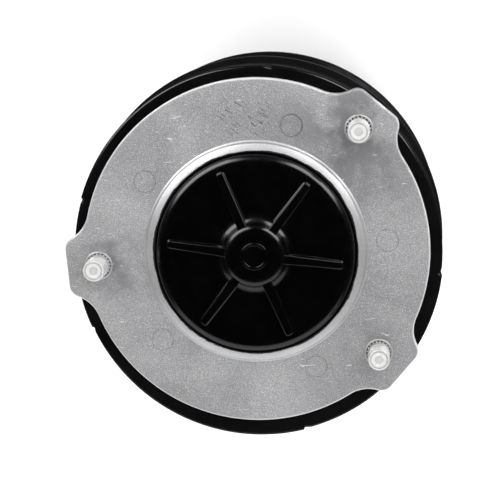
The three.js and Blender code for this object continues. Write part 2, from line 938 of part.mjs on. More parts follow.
function windingHead(low) {
  const outer = coreRadius - windingInset;
  const high = low + windingLength;
  return turned(
    rounded(
      [
        [windingInner, low, windingInnerRound],
        [outer, low, windingOuterRound],
        [outer, high, windingOuterRound],
        [windingInner, high, windingInnerRound],
      ],
      1,
    ),
    medium,
  );
}

function commutator() {
  const pitch = 360 / commutatorBars;
  const barHalf = pitch / 2 - barGapHalf;
  const outline = evenly(commutatorBars).flatMap((angle) => [
    ...arc(0, 0, commutatorRadius, angle - barHalf, angle + barHalf, 13),
    polar(commutatorRadius - barGapDepth, angle + barHalf),
    polar(commutatorRadius - barGapDepth, angle + pitch - barHalf),
  ]);
  const hole = [circle(0, 0, shaftRadius + gap)];
  return slab(outline, commutatorLift, commutatorLift + commutatorLength, hole);
}

const brushZ = commutatorLift + commutatorLength / 2;

function brush(side) {
  const near = commutatorRadius + gap;
  const middle = side * (near + (brushReach - near) / 2);
  return block([brushReach - near, brushSize, brushSize], [middle, 0, brushZ]);
}

function brushHolder(side) {
  const near = commutatorRadius + brushBoxGap;
  const far = magnetInner + brushBoxOver;
  const outer = brushSize + 2 * (gap + brushBoxWall);
  const inner = brushSize + 2 * gap;
  const middle = (side * (near + far)) / 2;
  const box = block([far - near, outer, outer], [middle, 0, brushZ]);
  const hollow = block([far - near, inner, inner], [middle - side * brushBoxWall, 0, brushZ]);
  return cut(box, hollow);
}

function upperBearing() {
  const low = drainZ - motorZ - bossDrop + gap;
  return tube(shaftRadius + pressGap, bearingRadius, low, low + bearingHeight, coarse);
}

function lowerBearing() {
  return tube(threadRadius + pressGap, bushRadius, -gap, bellThick - gap, coarse);
}

function shaftSeal() {
  const low = chamberFloorZ - motorZ + bossRise - sealHeight - gap;
  return tube(shaftRadius + pressGap, sealRadius, low, low + sealHeight, coarse);
}

function slinger() {
  const low = chamberFloorZ - motorZ + bossRise + spinGap;
  return tube(shaftRadius + gap, slingerRadius, low, low + slingerThick, coarse);
}

function endBell() {
  const seat = bushRadius + gap;
  const spigot = canRadius - canWall - gap;
  const bell = turned([
    [seat, 0],
    [canRadius, 0],
    [canRadius, bellThick],
    [spigot, bellThick],
    [spigot, bellThick + bellStep],
    [spigot - bellStep, bellThick + bellStep],
    [spigot - bellStep, bellThick],
    [seat + bellStep, bellThick],
    [seat + bellStep, bellThick + bellHub],
    [shaftRadius + spinGap, bellThick + bellHub],
    [shaftRadius + spinGap, bellThick],
    [seat, bellThick],
  ]);
  const boltHoles = [90, 270].map((angle) => {
    const [x, y] = polar(boltCircle, angle);
    return slab(circle(x, y, boltRadius + gap, tiny), -past, bellThick + bellStep + past);
  });
  const screwHoles = postAngles.map((angle) => {
    const [x, y] = polar(postCircle, angle);
    return slab(circle(x, y, screwRadius + gap, tiny), -past, bellThick - bellTapRoof);
  });
  const vents = evenly(bellVents, 180 / bellVents).map((angle) => {
    const [x, y] = polar(bellVentCircle, angle);
    return slab(circle(x, y, bellVentRadius, tiny), -past, bellThick + past);
  });
  return cut(bell, ...boltHoles, ...screwHoles, ...vents);
}

function throughBolt() {
  const top = drainZ - motorZ + drainFloor - boltShort;
  return turned(
    [
      [0, -boltHeadThick - gap],
      [boltHead, -boltHeadThick - gap],
      [boltHead, -gap],
      [boltRadius, -gap],
      [boltRadius, top],
      [0, top],
    ],
    tiny,
  );
}

// ---- Lower shell and base group, its origin at the base's underside ----

function lowerShell() {
  const low = baseHeight + gap;
  const belt = seamZ - beltHeight;
  const outer = beltRadius - beltStep;
  const shell = turned(
    rounded([
      [lowerBottomRadius - shellWall, low],
      [lowerBottomRadius, low],
      [lowerTopRadius, belt - flare],
      [outer, belt, beltRound],
      [outer, seamZ],
      [lowerTopRadius - shellWall, seamZ],
      [lowerTopRadius - shellWall, belt - flare],
    ]),
  );
  const hole = radialBar(portOuter + portClearance, drainOuter, portReach, portZ, 270, medium);
  return cut(shell, hole);
}

// A round pocket from below the foot up to a height.
function basePocket([x, y], radius, high, segments = coarse) {
  return slab(circle(x, y, radius, segments), -past, high);
}

function baseCover() {
  const spigot = lowerBottomRadius - shellWall - gap;
  const dish = turned(
    rounded([
      [0, 0],
      [footRadius, 0, footRound],
      [lowerBottomRadius, baseHeight],
      [spigot, baseHeight],
      [spigot, baseHeight + baseSpigot],
      [spigot - shellWall, baseHeight + baseSpigot],
      [spigot - shellWall, baseHeight - baseShoulder],
      [footRadius - shellWall, footThick, baseRound],
      [0, footThick],
    ]),
  );
  const posts = postAngles.map((angle) => {
    const [x, y] = polar(postCircle, angle);
    return slab(circle(x, y, postRadius), footThick / 2, motorZ - gap);
  });
  const screwHoles = postAngles.flatMap((angle) => [
    basePocket(polar(postCircle, angle), screwRadius + gap, motorZ, tiny),
    basePocket(polar(postCircle, angle), screwHead + gap, screwHeadThick + 2 * gap, tiny),
  ]);
  const [doorWidth, doorDepth] = doorSize;
  const doorWay = block([doorWidth, doorDepth, 4 * footThick], [...doorPlace, 0]);
  const doorSeat = block(
    [doorWidth + 2 * doorLip, doorDepth + 2 * doorLip, 2 * doorRecess],
    [...doorPlace, 0],
  );
  const buttonHole = basePocket(buttonPlace, buttonRadius + spinGap, footThick + past);
  const glandHole = basePocket(glandPlace, glandRadius + gap, footThick + past);
  const glandSeat = basePocket(glandPlace, glandFlange + gap, glandLift + glandFlangeThick + gap);
  const middle = (footThick + baseHeight) / 2;
  const vents = evenly(baseVents, ventTurn).map((angle) =>
    block([ventDepth, ventWidth, ventHeight], [lowerBottomRadius, 0, middle], angle),
  );
  return cut(
    join(dish, ...posts),
    ...screwHoles,
    doorWay,
    doorSeat,
    buttonHole,
    glandHole,
    glandSeat,
    ...vents,
  );
}

function baseScrew() {
  const low = gap;
  const tip = motorZ + bellThick - screwTail;
  return turned(
    [
      [0, low],
      [screwHead, low],
      [screwHead, low + screwHeadThick],
      [screwRadius, low + screwHeadThick],
      [screwRadius, tip],
      [0, tip],
    ],
    tiny,
  );
}

function wiringDoor() {
  const [width, depth] = doorSize;
  const high = doorRecess - gap;
  const size = [width + 2 * (doorLip - gap), depth + 2 * (doorLip - gap), doorThick];
  return block(size, [0, 0, high - doorThick / 2]);
}

function cableGland() {
  return turned([
    [glandBore, glandLift],
    [glandFlange, glandLift],
    [glandFlange, glandLift + glandFlangeThick],
    [glandRadius, glandLift + glandFlangeThick],
    [glandRadius, glandHeight],
    [glandBore, glandHeight],
  ], coarse);
}

const switchZ = footThick + switchLift;

function overloadSwitch() {
  const high = switchZ + switchHeight - gap;
  return turned([
    [buttonRadius + gap, switchZ],
    [switchRadius, switchZ],
    [switchRadius, high],
    [0, high],
    [0, high - switchRoof],
    [buttonRadius + gap, high - switchRoof],
  ], coarse);
}

function resetButton() {
  return turned([
    [0, 0],
    [buttonRadius - buttonChamfer, 0],
    [buttonRadius, buttonChamfer],
    [buttonRadius, buttonLength],
    [0, buttonLength],
  ], coarse);
}

function groundScrew() {
  return slab(circle(0, 0, groundRadius, hexagon), -groundHeight, -gap);
}

// ---- Assembly ----

const mount = group(disposal, 0, 0, plateZ, plateTurn);
const underPlate = group(disposal, 0, 0, plateZ);
piece(mount, "mounting_plate", mountingPlate(), castAluminium);
lobeAngles.forEach((angle, i) => {
  const [x, y] = polar(studCircle, angle);
  piece(mount, "mounting_stud_" + (i + 1), stud(), zincSteel, [x, y, 0]);
});
piece(underPlate, "neck_gasket", neckGasket(), rubber);
piece(underPlate, "top_trim_ring", topTrimRing(), satinBlack);

const guardZ = plateZ - sleeveDepth + ledgeThick + gap;
const stopperZ = guardZ + guardRimHeight + gap;
piece(disposal, "splash_guard", splashGuard(), rubber, [0, 0, guardZ]);
piece(group(disposal, 0, 0, stopperZ, stopperTurn), "stopper", stopper(), glossBlack);

const hopper = group(disposal, 0, 0, jointZ);
piece(hopper, "hopper", hopperShell(), blackNylon);
piece(hopper, "inlet_knockout_plug", inletPlug(), blackNylon);
piece(hopper, "sound_insulation", insulation(), foam);
piece(hopper, "clamp_band", clampBand(), stainless);
piece(hopper, "upper_shell", upperShell(), satinBlack);
piece(hopper, "grind_ring", grindRing(), stainless);

const table = group(disposal, 0, 0, tableZ);
piece(table, "turntable", turntable(), stainless);
[["a", 1], ["b", -1]].forEach(([letter, side]) => {
  const arm = group(table, side * lugCircle, 0, 0, side > 0 ? 0 : 180);
  piece(arm, "swivel_lug_" + letter, swivelLug(), stainless, [0, 0, tableThick + gap]);
  piece(arm, "lug_rivet_" + letter, rivet(), zincSteel);
});
piece(table, "turntable_nut", tableNut(), zincSteel);

const drain = group(disposal, 0, 0, drainZ);
piece(drain, "drain_housing", drainHousing(), castAluminium);
piece(drain, "port_gasket", portGasket(), rubber);
piece(drain, "port_flange", portFlange(), zincSteel);
[["a", 1], ["b", -1]].forEach(([letter, side]) => {
  piece(drain, "port_screw_" + letter, portScrew(), zincSteel, [side * earSpacing, 0, portZ - drainZ]);
});

const motor = group(disposal, 0, 0, motorZ);
piece(motor, "shaft", shaft(), plainSteel);
piece(motor, "slinger", slinger(), rubber);
piece(motor, "shaft_seal", shaftSeal(), rubber);
piece(motor, "upper_bearing", upperBearing(), plainSteel);
piece(motor, "lower_bearing", lowerBearing(), brass);
piece(motor, "motor_can", motorCan(), plainSteel);
piece(motor, "end_bell", endBell(), castAluminium);
piece(motor, "armature_core", armatureCore(), plainSteel);
piece(motor, "winding_upper", windingHead(coreLift + coreLength + gap), copper);
piece(motor, "winding_lower", windingHead(coreLift - windingLength - gap), copper);
piece(motor, "commutator", commutator(), copper);
[["a", 1], ["b", -1]].forEach(([letter, side]) => {
  const [x, y] = polar(boltCircle, side * 90);
  piece(motor, "magnet_" + letter, magnet(side), ferrite);
  piece(motor, "brush_" + letter, brush(side), carbon);
  piece(motor, "brush_holder_" + letter, brushHolder(side), brass);
  piece(motor, "through_bolt_" + letter, throughBolt(), zincSteel, [x, y, 0]);
});

const base = group(disposal, 0, 0, 0);
piece(base, "lower_shell", lowerShell(), satinBlack);
piece(base, "base_cover", baseCover(), blackNylon);
postAngles.forEach((angle, i) => {
  const [x, y] = polar(postCircle, angle);
  piece(base, "base_screw_" + (i + 1), baseScrew(), zincSteel, [x, y, 0]);
});
piece(base, "wiring_door", wiringDoor(), zincSteel, [...doorPlace, 0]);
piece(base, "cable_gland", cableGland(), blackNylon, [...glandPlace, 0]);
piece(base, "overload_switch", overloadSwitch(), blackNylon, [...buttonPlace, 0]);
piece(base, "reset_button", resetButton(), redPlastic, [...buttonPlace, buttonLift]);
const [terminalWidth, terminalDepth, terminalHeight] = terminalSize;
const terminalMiddle = motorZ - gap - terminalHeight / 2;
const terminal = block([terminalWidth, terminalDepth, terminalHeight], [0, 0, 0]);
piece(base, "terminal_block", terminal, carbon, [...terminalPlace, terminalMiddle]);
piece(motor, "ground_screw", groundScrew(), greenPaint, [...polar(groundCircle, groundAngle), 0]);

export default disposal;
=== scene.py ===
"""The looks of a kitchen garbage disposal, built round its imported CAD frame, in millimetres until a mesh is made."""
import json
import math

import bmesh
import bpy
from mathutils import Matrix, Vector


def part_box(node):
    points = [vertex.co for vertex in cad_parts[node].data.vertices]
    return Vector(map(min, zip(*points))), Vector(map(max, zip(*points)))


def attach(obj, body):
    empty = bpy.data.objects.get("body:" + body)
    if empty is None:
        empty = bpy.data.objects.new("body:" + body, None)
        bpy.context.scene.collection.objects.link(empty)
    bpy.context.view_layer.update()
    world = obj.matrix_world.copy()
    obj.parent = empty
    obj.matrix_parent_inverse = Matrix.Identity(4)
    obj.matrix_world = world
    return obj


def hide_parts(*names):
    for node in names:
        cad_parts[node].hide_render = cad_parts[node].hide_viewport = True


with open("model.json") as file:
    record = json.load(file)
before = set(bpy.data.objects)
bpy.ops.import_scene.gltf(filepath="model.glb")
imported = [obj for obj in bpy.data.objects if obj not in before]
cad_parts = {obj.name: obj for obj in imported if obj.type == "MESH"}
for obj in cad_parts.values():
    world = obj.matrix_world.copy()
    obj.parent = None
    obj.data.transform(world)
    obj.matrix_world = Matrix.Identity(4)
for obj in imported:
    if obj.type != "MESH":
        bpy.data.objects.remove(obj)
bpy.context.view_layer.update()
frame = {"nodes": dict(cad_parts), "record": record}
MM = 0.001


def box_mm(node):
    """A CAD node's lowest and highest corners, in millimetres."""
    low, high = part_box(node)
    return [c / MM for c in low], [c / MM for c in high]


def middle_of(node):
    """The middle of a CAD node's box, in millimetres."""
    return [(a + b) / 2 for a, b in zip(*box_mm(node))]


# ---- Sizes that the frame doesn't give ----

THROAT = 44.45
COLLAR_WIDTH = 4.6
PLATE_RADIUS = 76.3
PLATE_THICK = 6
PLATE_TURN = 5.7
PLATE_EDGE = 1.2
LOBE_ANGLES = (45, 180, 315)
LOBE_REACH = 84.5
LOBE_WIDTH = 27.5
LOBE_CORNER = 5.5
LOBE_FILLET = 15
EJECTOR_CIRCLE = 57.8
EJECTOR_ANGLES = (5.7, 74.7, 148, 223.9, 297.6)
EJECTOR_INNER, EJECTOR_OUTER, EJECTOR_DEPTH = 4.5, 5.1, 0.7
SLEEVE_WALL = 3
SLEEVE_DEPTH = 12
LEDGE_WIDTH = 4
LEDGE_THICK = 3
STUD_CIRCLE = 70.3
STUD_RADIUS = 4.9
STUD_GROOVES = ((9.0, 0.25), (5.6, 0.35), (2.6, 0.45))  # how far below the tip, and how deep
STUD_SINK = 0.9  # depth of the countersink round a stud
LIP_INNER, LIP_OUTER = 5.5, 6.3
KNURL_RADIUS = 5.3
KNURL_TEETH = 20
GAP = 0.3
LIFT_RADIUS = THROAT - 0.35  # of the stopper and the guard, which lift out of the throat

CHAMBER = 62.0  # inside of the grind chamber
CHAMBER_OUTER = 64.8
FLANGE = 70.2  # of the hopper and the drain housing, where the clamp band holds them
NECK, NECK_OUTER, NECK_RIM = 48.05, 51.25, 56.25
PORT_BORE, PORT_OUTER, PORT_END = 17.5, 20.8, 91
PORT_TURN = 270
INLET_BORE = 8
INLET_TURN = 225

# The painted shade round the studs and the scratched patch on the plate are placed in metres.
STUD_SHADE_REACHES = (0.044, 0.026, 0.018)
STUD_SHADE_DEPTHS = (1.0, 0.9, 0.6)
TICKS_PLACE = (-0.005, 0.0595)
TICKS_REACH = 0.014

SMOOTH = 160  # steps round a large ring
ROUND = 64  # steps round a small one
SHARP_ANGLE = math.radians(32)


# ---- Outlines and profiles, in millimetres ----


def arc(x, y, radius, start, end, step=4.0):
    """Points round an arc between two angles in degrees."""
    steps = max(1, math.ceil(abs(end - start) / step))
    angles = [math.radians(start + (end - start) * i / steps) for i in range(steps + 1)]
    return [(x + radius * math.cos(a), y + radius * math.sin(a)) for a in angles]


def circle(x, y, radius, steps=ROUND):
    """Points round a whole circle."""
    return arc(x, y, radius, 0, 360, 360 / steps)[:-1]


def rounded(corners, steps=5):
    """An outline whose corners (x, y, radius) are rounded where they have a radius."""
    points = []
    for i, corner in enumerate(corners):
        here = Vector(corner[:2])
        if len(corner) < 3 or corner[2] <= 0:
            points.append(tuple(here))
            continue
        back = (Vector(corners[i - 1][:2]) - here).normalized()
        ahead = (Vector(corners[(i + 1) % len(corners)][:2]) - here).normalized()
        half = math.acos(max(-1, min(1, back.dot(ahead)))) / 2
        centre = here + (back + ahead).normalized() * corner[2] / math.sin(half)
        first = here + back * corner[2] / math.tan(half) - centre
        last = here + ahead * corner[2] / math.tan(half) - centre
        turn = math.atan2(first.x * last.y - first.y * last.x, first.dot(last))
        for k in range(steps + 1):
            a = turn * k / steps
            c, s = math.cos(a), math.sin(a)
            points.append((centre.x + first.x * c - first.y * s, centre.y + first.x * s + first.y * c))
    return points


def rounded_box(low, high, radius):
    """The rounded outline of a rectangle between two corners."""
    return rounded([(low[0], low[1], radius), (high[0], low[1], radius),
                    (high[0], high[1], radius), (low[0], high[1], radius)])


def spun(points, degrees):
    """Points turned about the origin."""
    c, s = math.cos(math.radians(degrees)), math.sin(math.radians(degrees))
    return [(x * c - y * s, x * s + y * c) for x, y in points]


def polar(radius, degrees):
    """The point at a radius and an angle."""
    return radius * math.cos(math.radians(degrees)), radius * math.sin(math.radians(degrees))


# ---- Meshes ----


def mesh_of(name, bm, smooth=True):
    """A mesh in metres from a bmesh in millimetres, facing out, smooth except at its edges."""
    bmesh.ops.remove_doubles(bm, verts=bm.verts, dist=1e-4)
    bmesh.ops.dissolve_degenerate(bm, edges=bm.edges, dist=1e-5)
    bmesh.ops.recalc_face_normals(bm, faces=bm.faces)
    bmesh.ops.scale(bm, vec=(MM, MM, MM), verts=bm.verts)
    mesh = bpy.data.meshes.new(name)
    bm.to_mesh(mesh)
    bm.free()
    mesh.polygons.foreach_set("use_smooth", [smooth] * len(mesh.polygons))
    if smooth:
        mesh.set_sharp_from_angle(angle=SHARP_ANGLE)
    return mesh


def lathe(profile, steps=SMOOTH, warp=None):
    """A bmesh of a profile of (radius, height) turned round Z, which a warp may change with the angle.

    A profile that starts away from the axis is a ring's, and closes on itself.
    """
    bm = bmesh.new()
    ring = profile[0][0] > 0
    columns = []
    for j in range(steps):
        a = 2 * math.pi * j / steps
        c, s = math.cos(a), math.sin(a)
        points = [(r, z) if warp is None else warp(r, z, math.degrees(a)) for r, z in profile]
        columns.append([bm.verts.new((r * c, r * s, z)) for r, z in points])
    count = len(profile)
    for j in range(steps):
        here, there = columns[j], columns[(j + 1) % steps]
        for i in range(count if ring else count - 1):
            k = (i + 1) % count
            quad = [here[i], there[i], there[k], here[k]]
            if profile[i][0] == 0:
                quad = [here[i], there[k], here[k]]
            elif profile[k][0] == 0:
                quad = [here[i], there[i], here[k]]
            bm.faces.new(quad)
    return bm


def inset(outline, amount):
    """An outline moved inwards by an amount; its points run anticlockwise round the material."""
    moved = []
    for i, (x, y) in enumerate(outline):
        before, after = outline[i - 1], outline[(i + 1) % len(outline)]
        one = Vector((x - before[0], y - before[1])).normalized()
        two = Vector((after[0] - x, after[1] - y)).normalized()
        normal = Vector((-one.y - two.y, one.x + two.x))
        length = normal.length_squared / 2
        moved.append((x + normal.x * amount / length, y + normal.y * amount / length))
    return moved


def loft(contours, section, hole_section=None):
    """A bmesh of flat contours carried along a section of (inset, height), closed at both ends.

    The contours after the first are holes, which may have a section of their own.
    """
    bm = bmesh.new()
    ends = ([], [])
    for number, contour in enumerate(contours):
        used = hole_section if number and hole_section else section
        rows = [[bm.verts.new((x, y, height)) for x, y in inset(contour, amount)] for amount, height in used]
        count = len(contour)
        for lower, upper in zip(rows, rows[1:]):
            for i in range(count):
                k = (i + 1) % count
                bm.faces.new((lower[i], lower[k], upper[k], upper[i]))
        for end, row in zip(ends, (rows[0], rows[-1])):
            end.extend(bm.edges.get((row[i], row[(i + 1) % count])) for i in range(count))
    for end in ends:
        bmesh.ops.triangle_fill(bm, edges=end, use_beauty=True)
    return bm


def rim(radius, steps):
    """A section's (inset, height) steps round the rounded foot of a rim."""
    bends = [math.radians(90 * i / steps) for i in range(steps + 1)]
    return [(radius * (1 - math.sin(a)), radius * (1 - math.cos(a))) for a in bends]


def slab(outline, low, high, holes=(), edge=0.0):
    """An upright prism with holes, its rims rounded by a radius."""
    contours = [outline] + [hole[::-1] for hole in holes]
    section = [(0, low), (0, high)]
    if edge:
        foot = [(amount, low + z) for amount, z in rim(edge, 4)]
        section = foot + [(amount, low + high - z) for amount, z in reversed(foot)]
    return loft(contours, section)


def moved(bm, place=(0, 0, 0), turn=0.0, tip=None):
    """A bmesh turned about its own axes and then moved."""
    matrix = Matrix.Translation(place) @ Matrix.Rotation(math.radians(turn), 4, "Z")
    if tip is not None:
        matrix = matrix @ tip
    bmesh.ops.transform(bm, matrix=matrix, verts=bm.verts)
    return bm


def merged(*parts):
    """One bmesh holding several, which may stand into each other."""
    whole = bmesh.new()
    for part in parts:
        mesh = bpy.data.meshes.new("part")
        part.to_mesh(mesh)
        part.free()
        whole.from_mesh(mesh)
        bpy.data.meshes.remove(mesh)
    return whole


ALONG_X = Matrix.Rotation(math.radians(90), 4, "Y")
FACING_PORT = Matrix.Rotation(math.radians(90), 4, "X")


def aimed(bm, height, turn):
    """A shape drawn along Z, laid down to point outwards at a height and an angle."""
    return moved(bm, place=(0, 0, height), turn=turn, tip=ALONG_X)


def piece(name, material, bm, replaces=(), body="housing"):
    """A visible piece in a material, which rides on a body and may replace CAD nodes."""
    obj = bpy.data.objects.new(name, mesh_of(name, bm))
    bpy.context.scene.collection.objects.link(obj)
    obj.data.materials.append(material)
    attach(obj, body)
    if replaces:
        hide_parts(*replaces)
    return obj


def carve(obj, *cutters):
    """Cuts closed shapes out of a piece's mesh."""
    for number, bm in enumerate(cutters):
        tool = bpy.data.objects.new(f"{obj.name}_cut_{number}", mesh_of("cut", bm, False))
        bpy.context.scene.collection.objects.link(tool)
        cut = obj.modifiers.new("cut", "BOOLEAN")
        cut.object, cut.operation, cut.solver = tool, "DIFFERENCE", "EXACT"
        bpy.context.view_layer.update()
        whole = obj.evaluated_get(bpy.context.evaluated_depsgraph_get())
        mesh = bpy.data.meshes.new_from_object(whole)
        obj.modifiers.clear()
        obj.data = mesh
        bpy.data.objects.remove(tool)
    obj.data.polygons.foreach_set("use_smooth", [True] * len(obj.data.polygons))
    obj.data.set_sharp_from_angle(angle=SHARP_ANGLE)


def rod(radius, near, far, steps=ROUND):
    """A closed cylinder along Z."""
    return lathe([(0, near), (radius, near), (radius, far), (0, far)], steps)


# ---- Materials ----


class Graph:
    """A material's node tree, with short calls for the nodes that repeat."""

    def __init__(self, name):
        self.material = bpy.data.materials.new(name)
        self.material.use_nodes = True
        self.tree = self.material.node_tree
        self.shader = self.tree.nodes["Principled BSDF"]
        self.place = self.tree.nodes.new("ShaderNodeTexCoord").outputs["Object"]

    def node(self, kind, **settings):
        made = self.tree.nodes.new(kind)
        for key, value in settings.items():
            setattr(made, key, value)
        return made

    def link(self, source, socket):
        self.tree.links.new(source, socket)

    def noise(self, scale, detail=3.0, roughness=0.55, vector=None, distortion=0.0):
        made = self.node("ShaderNodeTexNoise")
        made.inputs["Scale"].default_value = scale
        made.inputs["Detail"].default_value = detail
        made.inputs["Roughness"].default_value = roughness
        made.inputs["Distortion"].default_value = distortion
        self.link(self.place if vector is None else vector, made.inputs["Vector"])
        return made.outputs["Fac"]

    def ranged(self, value, low, high, to_low, to_high):
        made = self.node("ShaderNodeMapRange")
        for socket, number in zip(("From Min", "From Max", "To Min", "To Max"), (low, high, to_low, to_high)):
            made.inputs[socket].default_value = number
        self.link(value, made.inputs["Value"])
        return made.outputs["Result"]

    def math(self, operation, one, two=None):
        made = self.node("ShaderNodeMath", operation=operation)
        for socket, value in zip(made.inputs, (one, two)):
            if value is None:
                continue
            if isinstance(value, (int, float)):
                socket.default_value = value
            else:
                self.link(value, socket)
        return made.outputs["Value"]

    def mixed(self, amount, one, two):
        made = self.node("ShaderNodeMix", data_type="RGBA")
        self.link(amount, made.inputs["Factor"])
        for socket, value in zip((made.inputs[6], made.inputs[7]), (one, two)):
            if isinstance(value, tuple):
                socket.default_value = (*value, 1)
            else:
                self.link(value, socket)
        return made.outputs[2]

    def bump(self, height, strength, distance):
        made = self.node("ShaderNodeBump")
        made.inputs["Strength"].default_value = strength
        made.inputs["Distance"].default_value = distance
        self.link(height, made.inputs["Height"])
        return made.outputs["Normal"]

    def stretched(self, scale, turn=0.0):
        """The place turned about Z and then stretched."""
        made = self.node("ShaderNodeMapping", vector_type="TEXTURE")
        made.inputs["Rotation"].default_value = (0, 0, math.radians(turn))
        made.inputs["Scale"].default_value = [1 / factor for factor in scale]
        self.link(self.place, made.inputs["Vector"])
        return made.outputs["Vector"]

    def radius(self):
        """Distance from the Z axis."""
        flat = self.node("ShaderNodeVectorMath", operation="MULTIPLY")
        flat.inputs[1].default_value = (1, 1, 0)
        self.link(self.place, flat.inputs[0])
        size = self.node("ShaderNodeVectorMath", operation="LENGTH")
        self.link(flat.outputs["Vector"], size.inputs[0])
        return size.outputs["Value"]

    def upright(self):
        """1 on faces that lie flat, falling to 0 on walls."""
        split = self.node("ShaderNodeSeparateXYZ")
        self.link(self.node("ShaderNodeTexCoord").outputs["Normal"], split.inputs[0])
        return self.math("ABSOLUTE", split.outputs["Z"])

    def near(self, point, reach):
        """1 at a point of the plane, falling to 0 at a distance, in metres."""
        away = self.node("ShaderNodeVectorMath", operation="DISTANCE")
        away.inputs[1].default_value = point
        self.link(self.place, away.inputs[0])
        return self.ranged(away.outputs["Value"], 0, reach, 1, 0)


def finish_material(name, color, roughness, mottle=0.15, mottle_scale=60.0, grain_scale=1500.0, grain=0.15,
                    grain_depth=0.0002, spread=0.08):
    """A moulded or painted surface: uneven colour and gloss over a fine grain."""
    g = Graph(name)
    cloud = g.noise(mottle_scale, 4)
    dark = tuple(c * (1 - mottle) for c in color)
    light = tuple(min(1, c * (1 + mottle)) for c in color)
    tint = g.mixed(g.ranged(cloud, 0.3, 0.7, 0, 1), dark, light)
    g.link(tint, g.shader.inputs["Base Color"])
    patches = g.noise(mottle_scale * 2.3, 3)
    g.link(g.ranged(patches, 0.3, 0.7, roughness - spread, roughness + spread), g.shader.inputs["Roughness"])
    height = g.noise(grain_scale, 2, 0.6)
    g.link(g.bump(height, grain, grain_depth), g.shader.inputs["Normal"])
    return g.material


def cast_material():
    """As-cast aluminium: a mottled, grainy skin with paler edges that are part wear and part painted highlight, painted
    shade round the studs and a few scratches.
    """
    g = Graph("cast_aluminium")
    cloud = g.noise(15, 5, 0.62, distortion=0.8)
    tint = g.mixed(g.ranged(cloud, 0.38, 0.62, 0, 1), (0.27, 0.27, 0.275), (0.41, 0.41, 0.415))
    grain = g.noise(2700, 3, 0.7)
    tint = g.mixed(g.ranged(grain, 0.42, 0.6, 0, 0.8), tint, (0.14, 0.14, 0.145))
    flecks = g.noise(2500, 2, 0.6)
    tint = g.mixed(g.ranged(flecks, 0.57, 0.68, 0, 0.6), tint, (0.75, 0.75, 0.76))
    # painted highlight with some wear: walls, rims and fillets are painted near white, paler than the flat faces
    edges = g.ranged(g.upright(), 0.97, 0.6, 0, 0.9)
    tint = g.mixed(edges, tint, (0.95, 0.95, 0.95))
    # painted shade: the plate is darkened round each stud, where it is dished
    stud_shade_cloud = g.noise(60, 4, 0.65)
    for angle, reach, depth in zip(LOBE_ANGLES, STUD_SHADE_REACHES, STUD_SHADE_DEPTHS):
        x, y = polar(STUD_CIRCLE - 5, angle + PLATE_TURN)  # a little inside the stud
        spot = g.near((x * MM, y * MM, PLATE_TOP * MM), reach)
        shade = g.math("MULTIPLY", g.math("MULTIPLY", spot, g.ranged(stud_shade_cloud, 0.38, 0.58, 0.1, 1.2)), depth)
        tint = g.mixed(shade, tint, (0.15, 0.15, 0.155))
    hair = g.noise(1, 2, 0.5, vector=g.stretched((120, 700, 100)), distortion=0.8)
    tint = g.mixed(g.ranged(hair, 0.715, 0.73, 0, 0.5), tint, (0.8, 0.8, 0.81))
    ticks = g.noise(1, 2, 0.5, vector=g.stretched((160, 1500, 100), -38))
    patch = g.ranged(g.near((*TICKS_PLACE, PLATE_TOP * MM), TICKS_REACH), 0, 0.3, 0, 1)
    tint = g.mixed(g.math("MULTIPLY", g.ranged(ticks, 0.63, 0.66, 0, 0.9), patch), tint, (0.04, 0.04, 0.04))
    g.link(tint, g.shader.inputs["Base Color"])
    g.shader.inputs["Metallic"].default_value = 0.5
    g.link(g.ranged(g.noise(140, 3), 0.3, 0.7, 0.44, 0.6), g.shader.inputs["Roughness"])
    relief = g.math("ADD", g.math("MULTIPLY", grain, 0.7), g.math("MULTIPLY", flecks, 0.3))
    g.link(g.bump(relief, 0.55, 0.0005), g.shader.inputs["Normal"])
    return g.material


def machined_material(name, color, roughness, pitch=0.00035):
    """Turned metal with fine rings about Z, its bore's edge darkened by a painted shadow of the gap round what sits in
    it, and by residue from the rubber and plastic there.
    """
    g = Graph(name)
    rings = g.node("ShaderNodeTexNoise", noise_dimensions="1D")
    rings.inputs["Scale"].default_value = 1 / pitch
    rings.inputs["Detail"].default_value = 2
    away = g.radius()
    g.link(away, rings.inputs["W"])
    cloud = g.noise(45, 3)
    tint = g.mixed(g.ranged(cloud, 0.3, 0.7, 0, 1), tuple(c * 0.86 for c in color), color)
    grain = g.noise(1300, 3, 0.7)
    tint = g.mixed(g.ranged(grain, 0.42, 0.65, 0, 0.4), tint, tuple(c * 0.6 for c in color))
    ragged = g.ranged(g.noise(75, 4, 0.7), 0.35, 0.75, -0.0001, 0.0009)
    reach = g.math("ADD", ragged, (THROAT + 0.35) * MM)  # the painted gap shadow and residue cover what is nearer the axis
    gap_shadow_and_residue = g.math("LESS_THAN", away, reach)
    g.link(g.mixed(gap_shadow_and_residue, tint, (0.012, 0.012, 0.012)), g.shader.inputs["Base Color"])
    g.link(g.ranged(gap_shadow_and_residue, 0, 1, 0.75, 0), g.shader.inputs["Metallic"])
    g.link(g.ranged(rings.outputs["Fac"], 0.3, 0.7, roughness - 0.06, roughness + 0.08), g.shader.inputs["Roughness"])
    height = g.math("ADD", g.math("MULTIPLY", rings.outputs["Fac"], 0.5), g.math("MULTIPLY", grain, 0.5))
    g.link(g.bump(height, 0.3, 0.0003), g.shader.inputs["Normal"])
    return g.material


